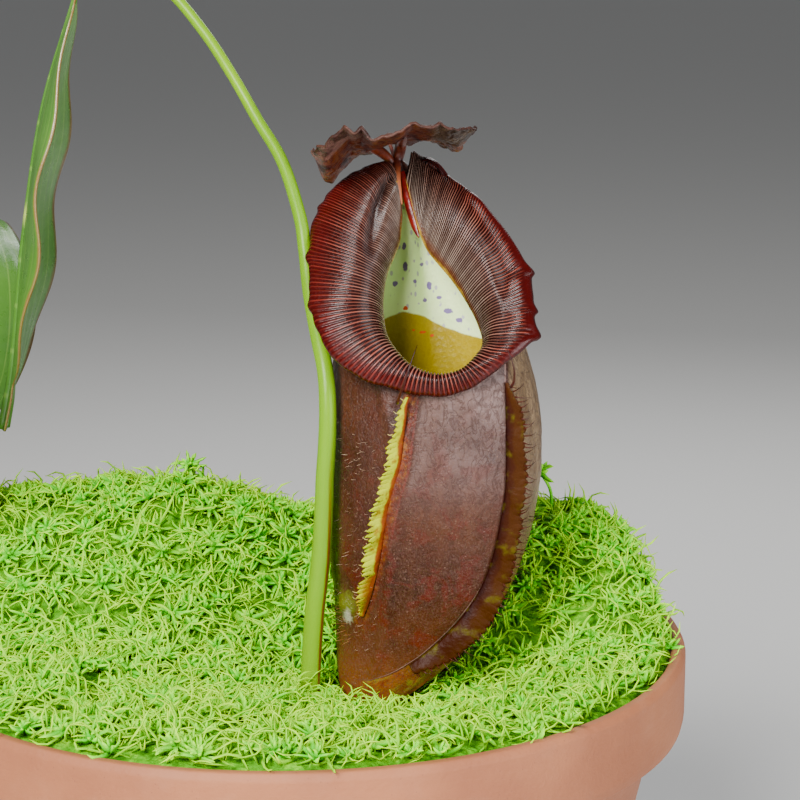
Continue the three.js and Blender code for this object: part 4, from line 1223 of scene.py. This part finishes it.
def leafFinish(name, dark, light, edge):
    paint = Finish(name, 0.32)
    w = paint.away(paint.maths("MULTIPLY", paint.v, 2.0), 1.0)  # 0 on the midrib, 1 at the edges
    tone = paint.mix(paint.noise(60, 5), dark, light)
    veins = paint.maths("COSINE", paint.maths("MULTIPLY", w, fullTurn * blade["veins"]))
    tone = paint.mix(paint.rise(veins, 0.9, 1.0, 0.35), tone, (0.2, 0.34, 0.06))
    tone = paint.mix(paint.fall(w, 0.0, 0.07, 0.8), tone, (0.34, 0.42, 0.08))
    tone = paint.mix(paint.rise(paint.wander(w, 90, 0.1), 0.93, 1.0, 0.7), tone, edge)
    paint.rough(paint.ramp(paint.noise(200, 3), (0.3, 0.26), (0.7, 0.42)))
    paint.coat(0.3, 0.2)
    return paint.finished(tone, plainGloss, (paint.noise(420, 4), 0.15))


stemBrown = mottledFinish("stem green brown", 120, 0.4,
                          (0.07, 0.035, 0.012), (0.13, 0.1, 0.025), (0.2, 0.2, 0.04))
leafGreen = leafFinish("leaf glossy green", (0.03, 0.11, 0.012), (0.075, 0.2, 0.02), (0.2, 0.05, 0.02))
youngGreen = mottledFinish("young leaf pale green", 90, 0.15,
                           (0.16, 0.28, 0.03), (0.24, 0.36, 0.05), (0.32, 0.42, 0.08))
finishPiece("stem_rod", makeStem(), [stemBrown], "stem", "stem")
for leafName, leaf in leaves.items():
    finishPiece(leafName + "_blade", makeLeaf(leaf), [leafGreen], "leaf", leafName)
pitcherBlade = makeBlade(Line(pitcherLeaf["rib"]), Vector((0, 1, 0)), pitcherLeaf["half"],
                         pitcherLeaf["waves"], pitcherLeaf["fold"])
finishPiece("leaf_pitcher_blade", pitcherBlade, [leafGreen], "leaf", "leaf_pitcher")
finishPiece("leaf_young_spear", makeYoungLeaf(), [youngGreen], "young_leaf", "leaf_young")


tendril = {
    # from the tip of the pitcher's leaf, over and down beside the cup, and round under it to its foot
    "line": (
        (-62.4, 11.8, 330.6), (-55, 9, 337.5), (-45, 6, 338.5), (-34, 2.5, 331), (-24, -1, 319.5),
        (-16, -4, 307.6), (-8.8, -8, 295.5), (-1.6, -11, 283.6), (3.3, -14, 268.6), (4.9, -17, 258.8),
        (6.5, -23.5, 247.5), (8.8, -31, 237.5), (11.1, -37, 227.9), (11.8, -40, 218.4), (11.6, -41, 208.6),
        (10.9, -41, 198.2), (10.6, -41, 189.9), (9.6, -41, 174.4), (7.8, -41, 159.1), (6.8, -40.5, 146),
        (6.4, -40, 134), (7.3, -39, 126.5), (11, -38, 121.4), (15.5, -37.5, 120.6), (18.8, -37.2, 122.2),
        (20, -37, 124.4)),
    "radius": ((0, 1.5), (0.25, 1.6), (0.45, 2), (0.6, 2.4), (0.8, 2.8), (0.9, 2.8), (1, 2.4)),
    "sides": 24,
    "steps": 260,
}


def makeTendril():
    def radiusAt(s, turn):
        return valueAt(tendril["radius"], s) * (1 + 0.02 * waver(s * 40, turn))
    return tube(Line(tendril["line"]), radiusAt, tendril["sides"], tendril["steps"])


def tendrilFinish():
    paint = Finish("tendril yellow green", 0.35)
    along = paint.v
    tone = paint.mix(paint.noise(50, 4, stretch=(1, 1, 0.2)), (0.07, 0.2, 0.0003), (0.18, 0.34, 0.0006))
    # a red-brown line right of the middle, that moves further to the side on its way down
    middle = paint.ramp(along, (0.5, 0.37), (0.85, 0.25))
    line = paint.both(paint.fall(paint.wander(paint.away(paint.u, middle), 200, 0.03), 0.02, 0.05),
                      paint.rise(along, 0.62, 0.76, 0.9))
    paint.soft(0.15, (0.002, 0.003, 0.001))
    tone = paint.mix(line, tone, (0.13, 0.025, 0.004))
    return paint.finished(tone, 0.2, (paint.noise(300, 4, stretch=(1, 1, 0.15)), 0.15))


finishPiece("tendril_rod", makeTendril(), [tendrilFinish()], "tendril", "tendril")


pot = {
    "rimRadius": 118,
    "rimBand": 24,
    "lip": 2.2,
    "height": 140,
    "baseRadius": 84,
    "wall": 3,
    "floor": 4,
    "holes": 5,
    "holeRadius": 6,
    "holeRing": 48,
    "sectors": 128,
    "bevel": 0.5,
    "sharpFrom": 12,  # degrees
}


def wallRadius(z):
    return lerp(pot["baseRadius"], pot["rimRadius"] - pot["lip"] - 1, z / pot["height"])


def makePot():
    rim, base, wall, floor, height = (pot[k] for k in ("rimRadius", "baseRadius", "wall", "floor", "height"))
    bandFoot = height - pot["rimBand"]
    profile = (
        (0, 0), (base - 2, 0), (base, 2), (wallRadius(bandFoot), bandFoot), (rim - 0.6, bandFoot + 1.2),
        (rim, bandFoot + 4), (rim, height - 2), (rim - 1.2, height), (rim - wall - 0.6, height),
        (rim - wall - 1.6, height - 2), (wallRadius(bandFoot) - wall, bandFoot),
        (base - wall + 1, floor + 1), (base - wall - 1, floor), (0, floor))
    bm = bmesh.new()
    verts = [bm.verts.new((r * mm, 0, z * mm)) for r, z in profile]
    edges = [bm.edges.new(pair) for pair in zip(verts, verts[1:])]
    bmesh.ops.spin(bm, geom=verts + edges, axis=(0, 0, 1), cent=(0, 0, 0), dvec=(0, 0, 0), angle=fullTurn,
                   steps=pot["sectors"], use_merge=True)
    bmesh.ops.remove_doubles(bm, verts=bm.verts, dist=1e-6)
    bmesh.ops.recalc_face_normals(bm, faces=bm.faces)
    sharp = [edge for edge in bm.edges if edge.calc_face_angle(0) > math.radians(pot["sharpFrom"])]
    bmesh.ops.bevel(bm, geom=sharp, offset=pot["bevel"] * mm, offset_type="OFFSET", segments=3, profile=0.5,
                    affect="EDGES", material=-1)
    return bm


def cutDrainHoles(piece):
    reach = pot["holeRadius"] * mm
    bm = bmesh.new()
    for k in range(pot["holes"]):
        middle = around(fullTurn * (k + 0.5) / pot["holes"]) * pot["holeRing"] * mm
        bmesh.ops.create_cone(bm, cap_ends=True, segments=32, radius1=reach, radius2=reach, depth=20 * mm,
                              matrix=Matrix.Translation(middle))
    cutter = addObject("cutter", meshOf("cutter", bm))
    cut = piece.modifiers.new("holes", "BOOLEAN")
    cut.operation = "DIFFERENCE"
    cut.solver = "EXACT"
    cut.object = cutter
    graph = bpy.context.evaluated_depsgraph_get()
    piece.data = bpy.data.meshes.new_from_object(piece.evaluated_get(graph))
    piece.modifiers.clear()
    bpy.data.objects.remove(cutter)


def potFinish():
    paint = Finish("pot terracotta matt", 0.7)
    tone = paint.ramp(paint.noise(14, 6), (0.35, (0.24, 0.075, 0.028)), (0.65, (0.33, 0.115, 0.045)))
    # a pale bloom on the clay, strongest low on the pot
    paleWash = paint.both(paint.rise(paint.noise(85, 6), 0.5, 0.72, 0.08),
                       paint.ramp(paint.height(), (0.0, 1.0), (0.12, 0.4)))
    tone = paint.mix(paleWash, tone, (0.5, 0.36, 0.27))
    tone = paint.mix(paint.fall(paint.spots(500), 0.06, 0.14, 0.5), tone, (0.16, 0.05, 0.025))
    return paint.finished(tone, plainGloss, (paint.noise(700, 5), 0.2),
                          (paint.noise(60, 3, stretch=(0.1, 0.1, 3)), 0.25))


cutDrainHoles(finishPiece("pot_shell", makePot(), [potFinish()], "pot", "pot"))


def mixFinish():
    paint = Finish("bark and perlite mix", 0.95)
    chips = paint.ramp(paint.spots(160), (0.1, (0.12, 0.06, 0.03)), (0.5, (0.035, 0.018, 0.01)))
    tone = paint.mix(paint.fall(paint.spots(260), 0.08, 0.14), chips, (0.7, 0.68, 0.62))
    return paint.finished(tone, plainGloss, (paint.spots(160), 1.5))


growingMix = frame["nodes"]["growing_mix"]
mixMaterial = mixFinish()
for materialSlot in growingMix.material_slots:
    materialSlot.material = mixMaterial
print("growing mix finished")


moss = {
    # the cushion's reach, the share of its rows on top, and the radius and height of its side and foot
    "cushion": (114, 0.86, (113.6, 138), (105, 104.3)),
    "reach": 113,
    "heads": 700,
    "strands": 8800,
    "strandLength": (6, 12),
    "bands": (-38, 30),  # where the heads are parted into three pieces, from front to back
    "headSize": (5.2, 7.4),
    "outer": (8, 10),  # branches in a head's two tiers
    "inner": (6, 8),
    "templates": 7,
    "front": 4,
    "rise": 35,
    "from": -26,
    "crest": 32,
    "hollow": (30, -44, 14),
    "settle": 1.6,  # how far the back of the cushion lies below its plain shape, and more on the right
    "rightSettle": (76, 22, 6),
    "tallHeads": ((75.6, 30, 182.6), (-34, 30, 184.5)),  # single shoots on stalks over the rest
    "stemRoom": 7,
}
goldenAngle = 2.39996
shootLength = 10  # of the templates


def mossHeight(x, y):
    edge = min(math.hypot(x, y) / (pot["rimRadius"] - 5), 1) ** 12
    saddle = 1 - 0.3 * bump(x, 6, 26)
    ramp = smoothStep(y + 0.1 * abs(x), moss["from"], moss["crest"])
    hill = moss["rise"] * saddle * ramp - 0.3 * max(0, y - moss["crest"])
    lumps = 1.6 * math.sin(0.09 * x + 1) * math.cos(0.11 * y) + 1.2 * math.sin(0.21 * x - 0.13 * y)
    hollowX, hollowY, depth = moss["hollow"]
    hollow = bump(x, hollowX, 52) * bump(y, hollowY, 34)
    right, width, deep = moss["rightSettle"]
    settled = (moss["settle"] + deep * bump(x, right, width)) * smoothStep(y, -12, 22)
    rise = (moss["front"] + hill + lumps - settled) * (1 - edge)
    return pot["height"] - 0.5 + rise - depth * hollow


def mossNormal(x, y):
    step = 1.5
    slopeX = (mossHeight(x + step, y) - mossHeight(x - step, y)) / (2 * step)
    slopeY = (mossHeight(x, y + step) - mossHeight(x, y - step)) / (2 * step)
    return Vector((-slopeX, -slopeY, 1)).normalized()


def underCup(x, y, z):  # the moss surface drops to pass below the cup
    while z > cup["bottom"] - 3 and insideCup(Vector((x, y, z)), 2.2):
        z -= 0.5
    return z


def makeCushion():
    reach, topShare, (side, high), (foot, low) = moss["cushion"]

    def place(u, v):
        turn = fullTurn * u
        if v <= topShare:
            radius = reach * (v / topShare) ** 0.8
            x, y = radius * math.cos(turn), radius * math.sin(turn)
            lumps = 0.9 * waver(x * 0.3, y * 0.3) + 0.6 * waver(x * 0.8, y * 0.8, 3)
            return Vector((x, y, underCup(x, y, mossHeight(x, y) + lumps - 0.4)))
        s = (v - topShare) / (1 - topShare)
        radius = lerp(side, foot, min(s * 2, 1)) if s < 0.55 else foot * (1 - s) / 0.45
        return around(turn, radius, lerp(high, low, min(s * 2, 1)))
    bm = sheet(180, 110, place, wrap=True)
    bmesh.ops.recalc_face_normals(bm, faces=bm.faces)
    return bm


def branchTemplates(count, sides, steps, thick, sway, seed):  # short tapering shoots along X
    rng = random.Random(seed)
    meshes = []
    for _ in range(count):
        bend = rng.uniform(-0.3, 1) * sway
        drift = rng.uniform(-0.7, 0.7) * sway
        tip = (shootLength, drift * 1.8, bend * 0.1)
        points = [(0, 0, 0), (3.3, drift * 0.3, bend * 0.7), (6.8, drift, bend), tip]

        def radiusAt(s, turn):
            scales = 1.22 if round(s * steps) % 2 else 0.85
            return thick * scales * max(math.sin(math.pi * min(0.9 * s + 0.16, 1)), 0) ** 0.7 + 0.04
        bm = tube(Line(points), radiusAt, sides, steps)
        for face in bm.faces:
            face.smooth = True
        meshes.append(meshOf("shoot", bm))
    return meshes


def shootMatrix(root, way, roll, length, width):  # sets a shoot at a root, along a way
    side = way.orthogonal().normalized()
    turn = Matrix((way, side, way.cross(side))).transposed().to_4x4()
    sizes = Matrix.Diagonal((length / shootLength, width, width, 1))
    return Matrix.Translation(root * mm) @ turn @ Matrix.Rotation(roll, 4, "X") @ sizes


def clearOfPlant(tip):  # and of the pot's rim, which it may hang over but not pierce
    stemGap = Vector((tip.x - stem["foot"][0], tip.y - stem["foot"][1])).length
    overRim = math.hypot(tip.x, tip.y) < 111 or tip.z > pot["height"] + 1.5
    return overRim and not insideCup(tip, 0.4) and stemGap > stem["radius"]


def plantShoot(target, shoots, rng, root, way, length, widths):
    matrix = shootMatrix(root, way, rng.uniform(0, 6.3), length, rng.uniform(*widths))
    addCopy(target, rng.choice(shoots), matrix)


def leaned(up, turn, tilt):  # a way that rises from level towards up
    level = Matrix.Rotation(turn, 3, up) @ up.orthogonal().normalized()
    return (level * math.cos(tilt) + up * math.sin(tilt)).normalized()


def sunflowerSpots(count, spread, rng):  # an even spread of places over the round bed
    for k in range(count):
        radius = moss["reach"] * math.sqrt((k + 0.5) / count)
        angle = k * goldenAngle + rng.uniform(-0.12, 0.12)
        yield (radius * math.cos(angle) + rng.uniform(-spread, spread),
               radius * math.sin(angle) + rng.uniform(-spread, spread))


def addStar(target, shoots, rng, root, up, size):  # a head of shoots in two tiers
    start = rng.uniform(0, fullTurn)
    tiers = ((rng.randint(*moss["outer"]), (-4, 24), 1.0), (rng.randint(*moss["inner"]), (38, 72), 0.62))
    for count, tilts, share in tiers:
        for k in range(count):
            turn = start + fullTurn * (k + rng.uniform(-0.3, 0.3)) / count
            way = leaned(up, turn, math.radians(rng.uniform(*tilts)))
            length = size * share * rng.uniform(0.8, 1.2)
            if clearOfPlant(root + way * length):
                plantShoot(target, shoots, rng, root, way, length, (0.75, 1.15))


def makeMossHeads():
    rng = random.Random(11)
    shoots = branchTemplates(moss["templates"], 3, 4, 0.78, 1.3, 3)
    parts = [bmesh.new() for _ in range(len(moss["bands"]) + 1)]
    for x, y in sunflowerSpots(moss["heads"], 1.2, rng):
        up = (mossNormal(x, y) + Vector((rng.uniform(-0.25, 0.25), rng.uniform(-0.25, 0.25), 0))).normalized()
        root = Vector((x, y, mossHeight(x, y) + rng.uniform(-0.2, 2.2)))
        if insideCup(root, 2.5) or math.hypot(x - stem["foot"][0], y - stem["foot"][1]) < moss["stemRoom"]:
            continue
        band = parts[sum(y > limit for limit in moss["bands"])]
        addStar(band, shoots, rng, root, up, rng.uniform(*moss["headSize"]))
    for place in moss["tallHeads"]:
        top = Vector(place)
        foot = Vector((top.x + 4, top.y, mossHeight(top.x + 4, top.y) - 2))
        addStar(parts[-1], shoots, rng, top, Vector((-0.1, -0.5, 0.85)).normalized(), 5.4)
        stalk = Line([foot, (foot + top) / 2 + Vector((1.6, 0, 1.5)), top])
        addTo(parts[-1], tube(stalk, lambda s, turn: 0.55, sides=5, steps=8))
    bpy.data.batch_remove(shoots)
    return parts


def makeMossStrands():  # long thin shoots that lie and curl between the heads
    rng = random.Random(23)
    shoots = branchTemplates(moss["templates"], 3, 4, 0.37, 4.4, 5)
    halves = [bmesh.new(), bmesh.new()]
    for x, y in sunflowerSpots(moss["strands"], 1.5, rng):
        root = Vector((x, y, mossHeight(x, y) + rng.uniform(-1.6, 1.8) - 1.6 * smoothStep(y, -20, 20)))
        way = leaned(mossNormal(x, y), rng.uniform(0, fullTurn), math.radians(rng.uniform(4, 40)))
        length = rng.uniform(*moss["strandLength"])
        if not insideCup(root, 1) and all(clearOfPlant(root + way * length * part) for part in (1, 0.5)):
            plantShoot(halves[y >= 0], shoots, rng, root, way, length, (0.8, 1.2))
    bpy.data.batch_remove(shoots)
    return halves


def mossFinish(name, base, middle, tip):
    paint = Finish(name, 0.6)
    along = paint.wander(paint.v, 120, 0.5)
    tone = paint.ramp(along, (0.05, base), (0.4, middle), (0.85, tip))
    paint.soft(0.2, (0.002, 0.003, 0.001))
    tone = paint.mix(paint.rise(paint.noise(28, 3), 0.4, 0.7, 0.3), tone, (0.36, 0.7, 0.0006))
    return paint.finished(tone, 0.1)


def cushionFinish():
    paint = Finish("moss cushion deep green", 0.8)
    tone = paint.ramp(paint.noise(260, 5), (0.35, (0.02, 0.11, 0.0003)), (0.52, (0.07, 0.28, 0.0004)),
                      (0.68, (0.19, 0.5, 0.0008)))
    return paint.finished(tone, 0.1, (paint.noise(420, 5), 2.2))


finishPiece("moss_cushion", makeCushion(), [cushionFinish()], "moss", "moss_bed")
headGreen = mossFinish("moss heads bright green",
                       (0.008, 0.14, 0.0), (0.06, 0.45, 0.0003), (0.26, 0.76, 0.0006))
for part, bm in zip(("front", "middle", "back"), makeMossHeads()):
    finishPiece("moss_heads_" + part, bm, [headGreen], "moss", "moss_bed")
strandGreen = mossFinish("moss strands pale green",
                         (0.06, 0.27, 0.0002), (0.2, 0.56, 0.0004), (0.4, 0.8, 0.001))
for part, bm in zip(("front", "back"), makeMossStrands()):
    finishPiece("moss_strands_" + part, bm, [strandGreen], "moss", "moss_bed")


studio = {
    "key": {"place": (-380, -900, 820), "size": 520, "power": 38, "colour": (1, 0.98, 0.95)},
    "fill": {"place": (820, -700, 420), "size": 700, "power": 13, "colour": (0.95, 0.97, 1)},
    "back": {"place": (240, 800, 760), "size": 520, "power": 3, "colour": (1, 1, 1)},
    "worldColour": (0.86, 0.87, 0.88, 1),
    "worldStrength": 0.2,
    "floorReach": 30,  # metres from the middle, so that no edge of it comes into view
}


def makeStudio():
    target = Vector(view["target"]) * mm
    for name in ("key", "fill", "back"):
        values = studio[name]
        data = bpy.data.lights.new(name, "AREA")
        data.shape = "DISK"
        data.size = values["size"] * mm
        data.energy = values["power"]
        data.color = values["colour"]
        lamp = addObject(name, data)
        lamp.location = Vector(values["place"]) * mm
        lamp.rotation_euler = (target - lamp.location).to_track_quat("-Z", "Y").to_euler()
    world = bpy.data.worlds.new("studio")
    world.use_nodes = True
    background = world.node_tree.nodes["Background"]
    background.inputs["Color"].default_value = studio["worldColour"]
    background.inputs["Strength"].default_value = studio["worldStrength"]
    bpy.context.scene.world = world


def makeFloor():
    bm = bmesh.new()
    bmesh.ops.create_grid(bm, x_segments=2, y_segments=2, size=studio["floorReach"])
    floor = addObject("floor", meshOf("floor", bm))
    floor.data.materials.append(Finish("floor pale grey", 0.7).finished((0.72, 0.72, 0.71)))


makeStudio()
makeFloor()
print("studio lit")
